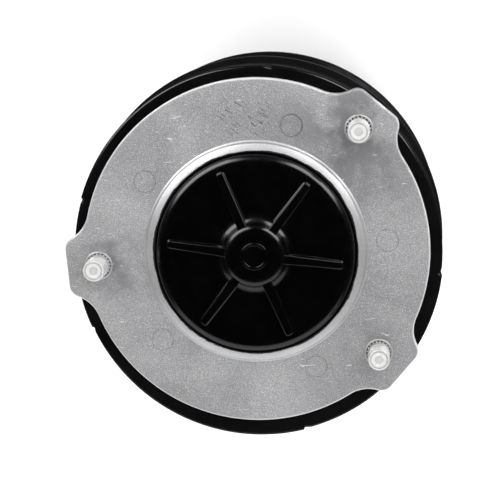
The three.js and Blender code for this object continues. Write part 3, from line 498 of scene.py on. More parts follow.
def brushed_material(name, color, roughness, scale=(900, 900, 25), metallic=1.0):
    """Sheet or wire metal with a drawn grain."""
    g = Graph(name)
    streaks = g.noise(1, 4, 0.6, vector=g.stretched(scale))
    tint = g.mixed(g.ranged(streaks, 0.3, 0.7, 0, 1), tuple(c * 0.82 for c in color), color)
    spots = g.noise(55, 4)
    tint = g.mixed(g.ranged(spots, 0.5, 0.75, 0, 0.35), tint, tuple(c * 0.6 for c in color))
    g.link(tint, g.shader.inputs["Base Color"])
    g.shader.inputs["Metallic"].default_value = metallic
    g.link(g.ranged(streaks, 0.3, 0.7, roughness - 0.07, roughness + 0.1), g.shader.inputs["Roughness"])
    g.link(g.bump(streaks, 0.15, 0.0001), g.shader.inputs["Normal"])
    return g.material


def winding_material():
    """Enamelled copper wire wound close together."""
    g = Graph("copper")
    wires = g.node("ShaderNodeTexWave", wave_type="RINGS", rings_direction="Z")
    wires.inputs["Scale"].default_value = 280
    wires.inputs["Distortion"].default_value = 1.5
    g.link(g.place, wires.inputs["Vector"])
    # painted shade: the hollows between the wires, low in the bump, are painted darker
    tint = g.mixed(wires.outputs["Fac"], (0.24, 0.08, 0.03), (0.66, 0.27, 0.12))
    g.link(tint, g.shader.inputs["Base Color"])
    g.shader.inputs["Metallic"].default_value = 0.8
    g.link(g.ranged(g.noise(200, 3), 0.3, 0.7, 0.22, 0.4), g.shader.inputs["Roughness"])
    g.link(g.bump(wires.outputs["Fac"], 0.8, 0.0004), g.shader.inputs["Normal"])
    return g.material


def foam_material():
    """Open-cell foam."""
    g = Graph("foam")
    cells = g.node("ShaderNodeTexVoronoi")
    cells.inputs["Scale"].default_value = 700
    g.link(g.place, cells.inputs["Vector"])
    depth = cells.outputs["Distance"]
    # painted shade: each cell's hollow is painted darker towards its middle
    g.link(g.mixed(depth, (0.02, 0.02, 0.022), (0.12, 0.12, 0.125)), g.shader.inputs["Base Color"])
    g.link(g.ranged(g.noise(90), 0.3, 0.7, 0.85, 1.0), g.shader.inputs["Roughness"])
    g.link(g.bump(depth, 0.9, 0.0008), g.shader.inputs["Normal"])
    return g.material


plate_low, plate_high = box_mm("mounting_plate")
stud_low, stud_high = box_mm("mounting_stud_1")
COLLAR_TOP = plate_high[2]
SLEEVE_FOOT = plate_low[2]
PLATE_TOP = SLEEVE_FOOT + SLEEVE_DEPTH + PLATE_THICK
PLATE_UNDER = PLATE_TOP - PLATE_THICK
STUD_FOOT, STUD_TIP = stud_low[2], stud_high[2]
PORT_HEIGHT = middle_of("port_gasket")[2]
INLET_HEIGHT = middle_of("inlet_knockout_plug")[2]

CAST = cast_material()
MACHINED = machined_material("machined_aluminium", (0.62, 0.62, 0.63), 0.4)
ZINC = brushed_material("zinc_steel", (0.7, 0.7, 0.69), 0.5, (700, 700, 200), 0.5)
# zinc painted darker as shade, for the hollows in the studs' tips
SHADED_ZINC = brushed_material("shaded_zinc", (0.42, 0.42, 0.415), 0.5, (700, 700, 200), 0.25)
STAINLESS = brushed_material("stainless", (0.66, 0.66, 0.67), 0.26)
STEEL = brushed_material("plain_steel", (0.42, 0.42, 0.43), 0.38)
BRASS = brushed_material("brass", (0.62, 0.46, 0.2), 0.34)
GLOSS = finish_material("black_gloss", (0.0005, 0.0005, 0.00055), 0.2, mottle=0.3, mottle_scale=90, grain=0.04,
                        grain_scale=260, grain_depth=0.0004, spread=0.05)
SATIN = finish_material("black_satin", (0.0022, 0.0022, 0.0024), 0.18, mottle=0.3, mottle_scale=70, grain=0.1,
                        grain_scale=1100, spread=0.04)
NYLON = finish_material("black_nylon", (0.011, 0.011, 0.0115), 0.5, mottle=0.25, mottle_scale=80, grain=0.35,
                        grain_scale=1900, spread=0.08)
RUBBER = finish_material("rubber", (0.012, 0.012, 0.012), 0.72, mottle=0.35, mottle_scale=120, grain=0.3,
                         grain_scale=900, spread=0.1)
CARBON = finish_material("carbon", (0.03, 0.03, 0.032), 0.7, mottle=0.3, mottle_scale=300, grain=0.4)
FERRITE = finish_material("ferrite", (0.05, 0.05, 0.053), 0.62, mottle=0.25, mottle_scale=200, grain=0.5)
RED = finish_material("red_button", (0.5, 0.012, 0.012), 0.3, mottle=0.15, mottle_scale=200, grain=0.08)
GREEN = finish_material("green_paint", (0.02, 0.2, 0.05), 0.35, mottle=0.2, mottle_scale=250, grain=0.2)
COPPER = winding_material()
FOAM = foam_material()

SLOT_MATERIALS = {
    "cast_aluminium": CAST, "zinc_steel": ZINC, "stainless": STAINLESS, "plain_steel": STEEL, "black_gloss": GLOSS,
    "black_satin": SATIN, "black_nylon": NYLON, "rubber": RUBBER, "foam": FOAM, "copper": COPPER, "brass": BRASS,
    "carbon": CARBON, "ferrite": FERRITE, "red_button": RED, "green_paint": GREEN,
}
MATERIAL_SLOTS = {material: slot for slot, material in SLOT_MATERIALS.items()}
MATERIAL_SLOTS.update({MACHINED: "cast_aluminium", SHADED_ZINC: "zinc_steel"})


def dress_cad_nodes():
    """Every CAD node takes its slot's material; the nodes that a detailed piece replaces stay hidden."""
    for part in frame["record"]["subparts"]:
        mesh = frame["nodes"][part["node"]].data
        mesh.materials.clear()
        mesh.materials.append(SLOT_MATERIALS[part["material_slot"]])


# ---- Mounting plate, collar and studs ----


def lobe_outline():
    """One lobe along +X: corner and fillet arcs tangent to each other and to the plate's rim."""
    corner = (LOBE_REACH - LOBE_CORNER, LOBE_WIDTH / 2 - LOBE_CORNER)
    reach = PLATE_RADIUS + LOBE_FILLET
    between = LOBE_FILLET + LOBE_CORNER
    away = math.hypot(*corner)
    spread = math.acos((reach * reach + away * away - between * between) / (2 * reach * away))
    angle = math.atan2(corner[1], corner[0]) + spread
    fillet = (reach * math.cos(angle), reach * math.sin(angle))
    touch = math.degrees(math.atan2(fillet[1] - corner[1], fillet[0] - corner[0]))
    rim_angle = math.degrees(angle)
    falling = arc(*corner, LOBE_CORNER, 0, touch, 6) + arc(*fillet, LOBE_FILLET, touch + 180, rim_angle + 180)[1:]
    return [(x, -y) for x, y in reversed(falling)] + falling, rim_angle


def plate_outline():
    """The plate's rim with its three lobes."""
    lobe, rim_angle = lobe_outline()
    points = []
    for i, angle in enumerate(LOBE_ANGLES):
        following = LOBE_ANGLES[(i + 1) % 3] + (360 if i == 2 else 0)
        points += spun(lobe, angle)
        points += arc(0, 0, PLATE_RADIUS, angle + rim_angle, following - rim_angle, 1.5)[1:-1]
    return points


def make_plate():
    studs = [polar(STUD_CIRCLE, angle) for angle in LOBE_ANGLES]
    holes = [circle(0, 0, THROAT + COLLAR_WIDTH / 2, SMOOTH)] + [circle(x, y, KNURL_RADIUS + GAP) for x, y in studs]
    contours = [plate_outline()] + [hole[::-1] for hole in holes]
    edge = rim(PLATE_EDGE, 6)
    section = [(amount, PLATE_UNDER + z) for amount, z in edge[::2]]
    section += [(amount, PLATE_TOP - z) for amount, z in reversed(edge)]
    plate = loft(contours, section, [(0, PLATE_UNDER), (0, PLATE_TOP)])
    obj = piece("plate_casting", CAST, moved(plate, turn=PLATE_TURN), ["mounting_plate"])
    marks = [moved(slab(circle(0, 0, EJECTOR_OUTER, 48), PLATE_TOP - EJECTOR_DEPTH, PLATE_TOP + 1,
                        [circle(0, 0, EJECTOR_INNER, 48)]), place=(*polar(EJECTOR_CIRCLE, angle), 0))
             for angle in EJECTOR_ANGLES]
    sink, above = PLATE_TOP - STUD_SINK, PLATE_TOP + 0.3
    sinks = [moved(lathe([(0, sink), (KNURL_RADIUS, sink), (KNURL_RADIUS + STUD_SINK + 0.3, above), (0, above)]),
                   place=(*polar(STUD_CIRCLE, angle + PLATE_TURN), 0)) for angle in LOBE_ANGLES]
    carve(obj, merged(*marks), merged(*sinks))
    for number, angle in enumerate(LOBE_ANGLES, 1):
        lip = rounded([
            (LIP_INNER, PLATE_TOP - 0.7),
            (LIP_OUTER, PLATE_TOP - 0.7),
            (LIP_OUTER, PLATE_TOP + 0.1, 0.2),
            ((LIP_INNER + LIP_OUTER) / 2, PLATE_TOP + 0.25, 0.2),
            (LIP_INNER, PLATE_TOP + 0.1, 0.2),
        ])
        piece(f"stud_lip_{number}", MACHINED,
              moved(lathe(lip, ROUND), place=(*polar(STUD_CIRCLE, angle + PLATE_TURN), 0)))
    outer = THROAT + COLLAR_WIDTH
    ledge = SLEEVE_FOOT + LEDGE_THICK
    collar = rounded([
        (THROAT - LEDGE_WIDTH, SLEEVE_FOOT, 0.3), (THROAT + SLEEVE_WALL, SLEEVE_FOOT, 0.3),
        (THROAT + SLEEVE_WALL, PLATE_UNDER, 0.3), (outer + 0.35, PLATE_UNDER + 0.1),
        (outer + 0.35, PLATE_TOP + 0.05), (outer - 0.35, PLATE_TOP + 0.3, 0.5),
        (outer - 0.9, COLLAR_TOP - 1.3, 0.7), (THROAT + 0.6, COLLAR_TOP, 0.4), (THROAT, COLLAR_TOP - 0.5, 0.3),
        (THROAT, ledge, 0.3), (THROAT - LEDGE_WIDTH, ledge, 0.3),
    ], 3)
    piece("throat_collar", MACHINED, lathe(collar, 2 * SMOOTH), ["mounting_plate"])


def make_studs():
    """Each stud has lathe grooves, a rolled ring and a centre mark in its tip, both filled with painted shade, and a
    knurl pressed into the plate.
    """
    seat, lathed = STUD_RADIUS - 0.1, STUD_TIP - 0.35
    for number, angle in enumerate(LOBE_ANGLES, 1):
        profile = [(0, STUD_FOOT), (seat, STUD_FOOT), (seat, PLATE_TOP - STUD_SINK), (STUD_RADIUS, PLATE_TOP - 0.7)]
        for below, depth in STUD_GROOVES:
            height = STUD_TIP - below
            profile += [(STUD_RADIUS, height), (STUD_RADIUS - depth, height + 0.3),
                        (STUD_RADIUS - depth, height + 0.6), (STUD_RADIUS - 0.1, height + 0.9)]
        profile += [(STUD_RADIUS - drop, STUD_TIP - below) for drop, below in ((0.1, 0.7), (0.2, 0.3), (0.5, 0))]
        profile += [(4.0, STUD_TIP), (3.85, lathed), (3.45, lathed), (3.3, STUD_TIP - 0.05)]
        profile += [(1.9, STUD_TIP - 0.1), (1.6, STUD_TIP - 0.4), (1.3, STUD_TIP - 0.5), (0, STUD_TIP - 0.5)]
        teeth = []
        for i in range(KNURL_TEETH):
            for rise, turn in ((-0.45, -4.5), (0.15, -2.2), (0.15, 2.2), (-0.45, 4.5)):
                teeth.append(polar(KNURL_RADIUS + rise, 360 * i / KNURL_TEETH + turn))
        knurl = slab(teeth, STUD_FOOT, PLATE_TOP - 0.1, [circle(0, 0, KNURL_RADIUS - 1)])
        place = (*polar(STUD_CIRCLE, angle + PLATE_TURN), 0)
        stud = moved(merged(lathe(profile, ROUND), knurl), place=place, turn=40 * number)
        piece(f"stud_{number}", ZINC, stud, [f"mounting_stud_{number}"])
        # painted shade: dark zinc fills the centre mark and the rolled ring in the tip
        centre = lathe([(0, STUD_TIP - 0.55), (1.7, STUD_TIP - 0.55), (1.7, STUD_TIP - 0.1),
                        (0.6, STUD_TIP - 0.2), (0, STUD_TIP - 0.2)], 32)
        groove = lathe([(3.5, STUD_TIP - 0.5), (3.8, STUD_TIP - 0.5), (3.8, STUD_TIP - 0.05), (3.5, STUD_TIP - 0.05)],
                       ROUND)
        piece(f"stud_{number}_marks", SHADED_ZINC, moved(merged(centre, groove), place=place))


# ---- Stopper and splash guard ----

STOPPER_RISE = 17.0  # from its foot to its face
STOPPER_SKIRT = 2.6
STOPPER_SHOULDER = 4.4
STOPPER_TURN = -6.4
RIB_COUNT = 6
RIB_WIDTH = 4.2
RIB_HEIGHT = 5.0
RIB_REACH = 38.5
RIB_TIP_WIDTH = 3.0
RIB_TIP_HEIGHT = 2.2
RIB_FILLET = 1.1
RIB_CREST = 0.45
KNOB_RADIUS = 13.7
KNOB_HEIGHT = 6.0
KNOB_ROUND = 4.4
KNOB_FLARE = 5.6


def make_stopper():
    foot = box_mm("stopper")[0][2]
    face = foot + STOPPER_RISE
    top = face + KNOB_HEIGHT
    skirt = LIFT_RADIUS - STOPPER_SKIRT
    shoulder = arc(LIFT_RADIUS - STOPPER_SHOULDER, face - STOPPER_SHOULDER, STOPPER_SHOULDER, 0, 90, 7.5)
    middle = face + KNOB_HEIGHT * KNOB_FLARE / (KNOB_FLARE + KNOB_ROUND)
    flare = [(KNOB_RADIUS + KNOB_FLARE * (1 - x), face + (middle - face) * (1 - y)) for x, y in arc(0, 0, 1, 90, 0, 6)]
    crown = [(KNOB_RADIUS + KNOB_ROUND * (x - 1), middle + (top - middle) * y) for x, y in arc(0, 0, 1, 0, 90, 6)][1:]
    cap = [(0, face - 3), (skirt - 2, face - 3), (skirt, face - 5), (skirt, foot + 0.3), (skirt + 0.3, foot)]
    cap += [(LIFT_RADIUS - 0.3, foot), (LIFT_RADIUS, foot + 0.3)] + shoulder + flare + crown + [(0, top)]
    parts = [lathe(cap, 2 * SMOOTH)]
    near = KNOB_RADIUS - 3
    rib = rounded([(near, -RIB_WIDTH / 2), (RIB_REACH, -RIB_TIP_WIDTH / 2, 0.9),
                   (RIB_REACH, RIB_TIP_WIDTH / 2, 0.9), (near, RIB_WIDTH / 2)])
    section = [(-RIB_FILLET, -1.0)] + [(-amount, z) for amount, z in rim(RIB_FILLET, 6)]
    for a in (math.radians(15 * i) for i in range(7)):
        section.append((RIB_CREST * (1 - math.cos(a)), RIB_HEIGHT - RIB_CREST + RIB_CREST * math.sin(a)))
    for i in range(RIB_COUNT):
        bm = loft([rib], section)
        for vert in bm.verts:
            along = max(0, min(1, (vert.co.x - KNOB_RADIUS) / (RIB_REACH - KNOB_RADIUS)))
            if vert.co.z > 0:
                vert.co.z *= 1 - (1 - RIB_TIP_HEIGHT / RIB_HEIGHT) * along
        parts.append(moved(bm, place=(0, 0, face), turn=360 / RIB_COUNT * i))
    stopper = moved(merged(*parts), turn=STOPPER_TURN)
    piece("stopper_cap", GLOSS, stopper, ["stopper"], "stopper")
    ring = lathe(rounded([(4.6, top - 0.5), (6.0, top - 0.5), (6.0, top + 0.4, 0.35), (4.6, top + 0.4, 0.35)]), ROUND)
    piece("stopper_mark", GLOSS, ring, body="stopper")


GUARD_DROP = 16
GUARD_HOLE = 9
GUARD_RIM = 3.7
GUARD_SLITS = 8
SLIT_WIDTH = 1.2


def make_guard():
    foot = box_mm("splash_guard")[0][2] + GUARD_DROP
    root = THROAT - LEDGE_WIDTH - GAP
    profile = rounded([
        (GUARD_HOLE, foot - GUARD_DROP, 0.5), (GUARD_HOLE + 2, foot - GUARD_DROP, 0.5), (30, foot - 5.5, 8),
        (root, foot - 1, 1), (root, foot), (LIFT_RADIUS, foot, 0.5), (LIFT_RADIUS, foot + GUARD_RIM, 0.8),
        (root - 2, foot + GUARD_RIM, 0.8), (root - 2, foot + 0.8, 2), (28, foot - 4.2, 8),
        (GUARD_HOLE, foot + 2 - GUARD_DROP, 0.5),
    ])
    obj = piece("guard_flaps", RUBBER, lathe(profile, 96), ["splash_guard"], "guard")
    near, far, side = GUARD_HOLE - 3, root - 4, SLIT_WIDTH / 2
    slits = []
    for i in range(GUARD_SLITS):
        slit = slab([(near, -side), (far, -side), (far, side), (near, side)], foot - 30, foot + 10)
        slits.append(moved(slit, turn=360 / GUARD_SLITS * i + 0.1))  # off the lathe's columns, for a clean cut
    carve(obj, merged(*slits))


# ---- Trim ring and outer shells ----

TRIM_STEPS = (86, 164, 206, 285, 353)  # where one length of the strip laps the next
TRIM_LAP = 0.9
TRIM_LIP = 2.2
TRIM_SPREAD = 0.3
TRIM_SAG = 1.7
TRIM_SAG_ANGLE = 275
TRIM_OVAL = 0.6


def make_trim():
    low, high = box_mm("top_trim_ring")
    radius, top, foot = high[0], high[2], low[2]
    inner = box_mm("neck_gasket")[1][0] + GAP

    def lapped(r, z, degrees):
        """A strip bent round in five lengths, each lapping the next, that has sagged a little to one side."""
        if r < radius - 4:
            return r, z
        away = math.radians(degrees - TRIM_SAG_ANGLE)
        sag = TRIM_SPREAD + TRIM_SAG * math.cos(away) + TRIM_OVAL * math.cos(2 * away)
        back = min((degrees - start) % 360 for start in TRIM_STEPS)
        ahead = 360 - max((degrees - stop) % 360 for stop in TRIM_STEPS)
        lift = TRIM_LAP * back / (back + ahead)
        notch = 0.5 * max(0, 1 - back / 2)
        return r + 0.5 * lift - notch + sag, z - 0.6 * notch

    profile = rounded([
        (inner, top - 3, 0.3),
        (radius - TRIM_LIP, top - 3, 0.5),
        (radius - TRIM_LIP, foot, 0.3),
        (radius, foot, 0.5),
        (radius, top, 1.3),
        (inner, top, 0.3),
    ])
    piece("trim_cap", SATIN, lathe(profile, 720, lapped), ["top_trim_ring"])


BARREL, BARREL_INNER = 81.0, 78.4
BELT = 83.3
SPIGOT_OUTER, SPIGOT_INNER = 79.7, 77.4
SPIGOT_HEIGHT = 7.7
JOINT_RISE = 7.3  # of the upper shell's foot above the chamber's joint
RIDGE_RISE = 63  # of the ridge above that joint
INLET_HOLE = 12
PORT_HOLE, PORT_LIP = 21.6, 23.6


def make_upper_shell():
    low, high = box_mm("upper_shell")
    foot, top, ridge = low[2], high[2], high[0]
    middle = foot - JOINT_RISE + RIDGE_RISE
    spigot = top - SPIGOT_HEIGHT
    profile = rounded([
        (BARREL_INNER, foot, 0.2), (BELT, foot, 0.5), (BELT, foot + 10, 1.5), (BARREL, foot + 12, 1.0),
        (BARREL, middle - 20, 0.3), (BARREL - 0.7, middle - 19.5, 0.3), (BARREL - 0.7, middle - 18, 0.3),
        (BARREL, middle - 17.5, 0.3), (BARREL, middle - 7, 1.2), (ridge, middle - 4, 1.2), (ridge, middle + 4, 2.2),
        (BARREL, middle + 7, 1.2), (BARREL, spigot - 7, 0.3), (BARREL - 0.9, spigot - 6.4, 0.3),
        (BARREL - 0.9, spigot - 4.2, 0.3), (BARREL, spigot - 3.6, 0.3), (BARREL, spigot, 0.5),
        (SPIGOT_OUTER, spigot, 0.2), (SPIGOT_OUTER, top, 0.4), (SPIGOT_INNER, top, 0.3),
        (SPIGOT_INNER, spigot - 4, 0.5), (BARREL_INNER, spigot - 7, 0.5),
    ])
    obj = piece("barrel_upper", SATIN, lathe(profile), ["upper_shell"])
    carve(obj, aimed(rod(INLET_HOLE, 60, 95), INLET_HEIGHT, INLET_TURN))


def make_lower_shell():
    low, high = box_mm("lower_shell")
    wide, foot, seam = high[0], low[2], high[2]
    belt = seam - 10
    profile = rounded([
        (71.9, foot, 0.2), (74.5, foot, 0.5), (80.5, belt - 3, 1.5), (wide, belt, 1.5), (wide, seam, 0.5),
        (77.9, seam, 0.2), (77.9, belt - 3, 1.0),
    ])
    obj = piece("barrel_lower", SATIN, lathe(profile), ["lower_shell"])
    carve(obj, aimed(rod(PORT_HOLE, 60, 95), PORT_HEIGHT, PORT_TURN))
    lip = rounded([(PORT_HOLE, 77.0, 0.3), (PORT_LIP, 77.0, 0.3), (PORT_LIP, 81.8, 0.6), (PORT_HOLE, 81.8, 0.6)])
    piece("port_lip", SATIN, aimed(lathe(lip, ROUND), PORT_HEIGHT, PORT_TURN))


VENT_COUNT = 36
VENT_HEIGHT = 17
SCREW_EASE = 0.4
BUTTON_HOLE, BUTTON_DISH = 5.4, 10.2
GLAND_HOLE, GLAND_SEAT = 11.3, 14.3
DOOR_EASE = 0.3


def make_base():
    wide, _, top = box_mm("base_cover")[1]
    profile = rounded([
        (0, 0), (46, 0, 0.2), (46.6, 0.7, 0.2), (48.4, 0.7, 0.2), (49, 0, 0.2), (67, 0, 5), (wide, 24, 8),
        (wide, top - 4, 0.4), (71.6, top - 4, 0.2), (71.6, top, 0.4), (69, top, 0.4), (69, top - 10, 2),
        (64.4, 4, 3), (0, 4),
    ])
    obj = piece("base_shell", NYLON, lathe(profile), ["base_cover"])
    vents = [aimed(slab(rounded_box((-7, -1.1), (7, 1.1), 1.0), 60, 80), VENT_HEIGHT, 360 / VENT_COUNT * i)
             for i in range(VENT_COUNT)]
    tools = [merged(*vents)]
    for number in (1, 2, 3):
        low, high = box_mm(f"base_screw_{number}")
        x, y, _ = middle_of(f"base_screw_{number}")
        tools.append(moved(rod((high[0] - low[0]) / 2 + SCREW_EASE, -1, 3.8, 40), place=(x, y, 0)))
    x, y, _ = middle_of("reset_button")
    dish = [(0, -1), (BUTTON_DISH, -1), (BUTTON_DISH, 0.0), (5.2, 1.3), (0, 1.3)]
    tools += [moved(rod(BUTTON_HOLE, -1, 6, 48), place=(x, y, 0)), moved(lathe(dish, 48), place=(x, y, 0))]
    x, y, _ = middle_of("cable_gland")
    tools += [moved(rod(GLAND_HOLE, -1, 6, 48), place=(x, y, 0)), moved(rod(GLAND_SEAT, -1, 2.2, 48), place=(x, y, 0))]
    low, high = box_mm("wiring_door")
    tools.append(slab(rounded_box([c - DOOR_EASE for c in low], [c + DOOR_EASE for c in high], 2), -1, 2.4))
    carve(obj, *tools)


# ---- Hopper and its nipple, drain housing and discharge port ----


def make_hopper():
    low, high = box_mm("hopper")
    foot, top = low[2], high[2]
    shoulder = foot - GAP + 62
    profile = rounded([
        (CHAMBER, foot, 0.3), (FLANGE, foot, 0.4), (FLANGE, foot + 5, 0.4), (CHAMBER_OUTER, foot + 5, 0.6),
        (CHAMBER_OUTER, shoulder, 9), (NECK_OUTER, top - 18, 9), (NECK_OUTER, top - 3, 0.5),
        (NECK_RIM, top - 3, 0.4), (NECK_RIM, top, 0.4), (NECK, top, 0.4), (NECK, top - 18, 9),
        (CHAMBER, shoulder, 9),
    ])
    obj = piece("hopper_shell", NYLON, lathe(profile), ["hopper"])
    carve(obj, aimed(rod(INLET_BORE, 55, 70), INLET_HEIGHT, INLET_TURN))
    tube = rounded([
        (INLET_BORE, 63.5, 0.2), (13, 63.5, 0.2), (13, 66, 1), (11, 68, 1), (11, 86.2, 0.6),
        (12, 87.0, 0.4), (12, 89.0, 0.5), (10.4, 91, 0.3), (INLET_BORE, 91, 0.4),
    ])
    nipple = aimed(lathe(tube, ROUND), INLET_HEIGHT, INLET_TURN)
    piece("inlet_nipple", NYLON, nipple, ["hopper"])
    boot = rounded([(11.3, 77, 0.2), (16, 77, 0.3), (16, 80.6, 0.8), (13.6, 82.6, 0.8), (11.3, 82.6, 0.4)])
    piece("inlet_boot", RUBBER, aimed(lathe(boot, ROUND), INLET_HEIGHT, INLET_TURN))


EAR_SPACING = 31
EAR_LARGE, EAR_SMALL = 23.5, 6.5
EAR_HOLES = [circle(side * EAR_SPACING, 0, 2.8, 24) for side in (-1, 1)]


def ear_outline():
    """A round flange with an ear on each side, joined by straight tangents."""
    slope = math.degrees(math.acos((EAR_LARGE - EAR_SMALL) / EAR_SPACING))
    return (arc(EAR_SPACING, 0, EAR_SMALL, -slope, slope, 10) + arc(0, 0, EAR_LARGE, slope, 180 - slope)
            + arc(-EAR_SPACING, 0, EAR_SMALL, 180 - slope, 180 + slope, 10)
            + arc(0, 0, EAR_LARGE, 180 + slope, 360 - slope))


def facing_port(bm):
    """A shape drawn flat, stood up at the port with its height running outwards along -Y."""
    return moved(bm, place=(0, 0, PORT_HEIGHT), tip=FACING_PORT)


def threaded(radius, depth, pitch, low, high):
    """Profile points between two heights, and a warp that cuts a helical thread into them as they turn."""
    rows = max(2, round((high - low) / pitch * 8))
    heights = [low + (high - low) * i / rows for i in range(rows + 1)]

    def warp(r, z, degrees):
        if r < radius - 1e-6 or not low <= z <= high:
            return r, z
        phase = (z / pitch - degrees / 360) % 1
        fade = min(1, (z - low) / pitch, (high - z) / pitch)
        return r - depth * fade * (1 - abs(2 * phase - 1)), z

    return [(radius, z) for z in heights], warp


def hex_screw(tip, seat, across, head, radius):
    """A screw along Z with a washer-faced hexagon head, its tip and its head's seat at two heights."""
    thread, warp = threaded(radius, 0.35, 1.0, tip + 1, seat - 0.6)
    shank = lathe([(0, tip), (radius - 0.6, tip), *thread, (radius, seat), (0, seat)], 32, warp)
    washer = lathe(rounded([(0, seat), (across, seat, 0.2), (across, seat + 0.8, 0.3), (0, seat + 0.8)]), 48)
    cap = slab(circle(0, 0, across * 0.82, 6), seat + 0.6, seat + head, edge=0.35)
    return merged(shank, washer, cap)


def make_port():
    top = box_mm("drain_housing")[1][2]
    seat = box_mm("grind_ring")[0][2] - GAP
    floor = PORT_HEIGHT - PORT_BORE
    under = floor - 6
    bowl = rounded([
        (12.3, under - 8, 0.3), (17, under - 8, 0.6), (17, under, 1), (66, under, 5), (66, top - 5, 1),
        (FLANGE, top - 5, 0.4), (FLANGE, top, 0.4), (CHAMBER, top, 0.3), (CHAMBER, seat, 0.3), (57.2, seat, 0.5),
        (57.2, seat - 3, 0.5), (CHAMBER, seat - 7, 2), (CHAMBER, floor, 4), (17, floor, 2), (17, floor + 12, 0.8),
        (11.3, floor + 12, 0.3), (11.3, floor + 5, 0.3), (6.8, floor + 5, 0.3), (6.8, under + 1, 0.3),
        (12.3, under + 1, 0.3),
    ])
    obj = piece("drain_bowl", CAST, lathe(bowl), ["drain_housing"])
    carve(obj, aimed(rod(PORT_BORE, 40, 75), PORT_HEIGHT, PORT_TURN))
    pipe = rounded([(PORT_BORE, 60.5, 0.2), (PORT_OUTER, 60.5, 0.2), (PORT_OUTER, PORT_END, 0.3),
                    (PORT_BORE, PORT_END, 0.5)])
    ears = slab(ear_outline(), PORT_END - 5, PORT_END, [circle(0, 0, 19)] + EAR_HOLES, 0.8)
    port = merged(facing_port(lathe(pipe, ROUND)), facing_port(ears))
    piece("drain_port", CAST, port, ["drain_housing"])
    gasket = rounded([(PORT_BORE, 91.3, 0.4), (PORT_OUTER, 91.3, 0.7), (PORT_OUTER, 93.8, 0.7), (PORT_BORE, 93.8, 0.4)])
    piece("outlet_gasket", RUBBER, facing_port(lathe(gasket, ROUND)), ["port_gasket"])
    flange = slab(ear_outline(), 94.1, 96.6, [circle(0, 0, PORT_BORE)] + EAR_HOLES, 0.5)
    piece("outlet_flange", ZINC, facing_port(flange), ["port_flange"])
    for letter, side in (("a", 1), ("b", -1)):
        screw = moved(hex_screw(84, 96.9, 4.6, 3.0, 2.5), place=(side * EAR_SPACING, 0, 0))
        piece(f"outlet_screw_{letter}", ZINC, facing_port(screw), [f"port_screw_{letter}"])


# ---- Fittings in the base ----


def make_base_fittings():
    for number in (1, 2, 3):
        node = f"base_screw_{number}"
        low, high = box_mm(node)
        x, y, _ = middle_of(node)
        head, shank = (high[0] - low[0]) / 2, 2.5
        pan = rounded([(0, low[2]), (head, low[2], 1.2), (head, low[2] + 3, 0.3), (shank, low[2] + 3),
                       (shank, high[2]), (0, high[2])])
        obj = piece(f"cover_screw_{number}", ZINC, moved(lathe(pan, 40), place=(x, y, 0)), [node])
        cross = [(-2.6, -0.5), (2.6, -0.5), (2.6, 0.5), (-2.6, 0.5)]
        carve(obj, *(moved(slab(cross, -1, low[2] + 1.4), place=(x, y, 0), turn=turn) for turn in (25, 115)))
    low, high = box_mm("wiring_door")
    door = slab(rounded_box(low, high, 1.8), low[2], high[2], edge=0.3)
    piece("door_plate", ZINC, door, ["wiring_door"])
    x, y, _ = middle_of("cable_gland")
    gland = rounded([(7, 0.4, 1.2), (14, 0.4, 0.8), (14, 1.9, 0.4), (11, 1.9, 0.2), (11, 12, 0.6), (7, 12, 0.4)])
    piece("gland_bush", NYLON, moved(lathe(gland, ROUND), place=(x, y, 0)), ["cable_gland"])
    x, y, _ = middle_of("reset_button")
    low, high = box_mm("reset_button")
    button = rounded([(0, low[2] + 0.5), (2.6, low[2] + 0.45, 1), (3.9, low[2], 0.5), (4.6, low[2] + 0.7, 0.4),
                      (4.6, high[2], 0.3), (0, high[2])])
    piece("button_cap", RED, moved(lathe(button, 48), place=(x, y, 0)), ["reset_button"], "button")


# ---- Turntable and what turns with it ----

DISC_THICK = 2.4
DISC_DRAINS = 6
DRAIN_CIRCLE = 28
RIVET_CIRCLE = 40
RIVET_HEAD = 5.5
RING_WALL = 2.5
RING_WINDOWS = 16


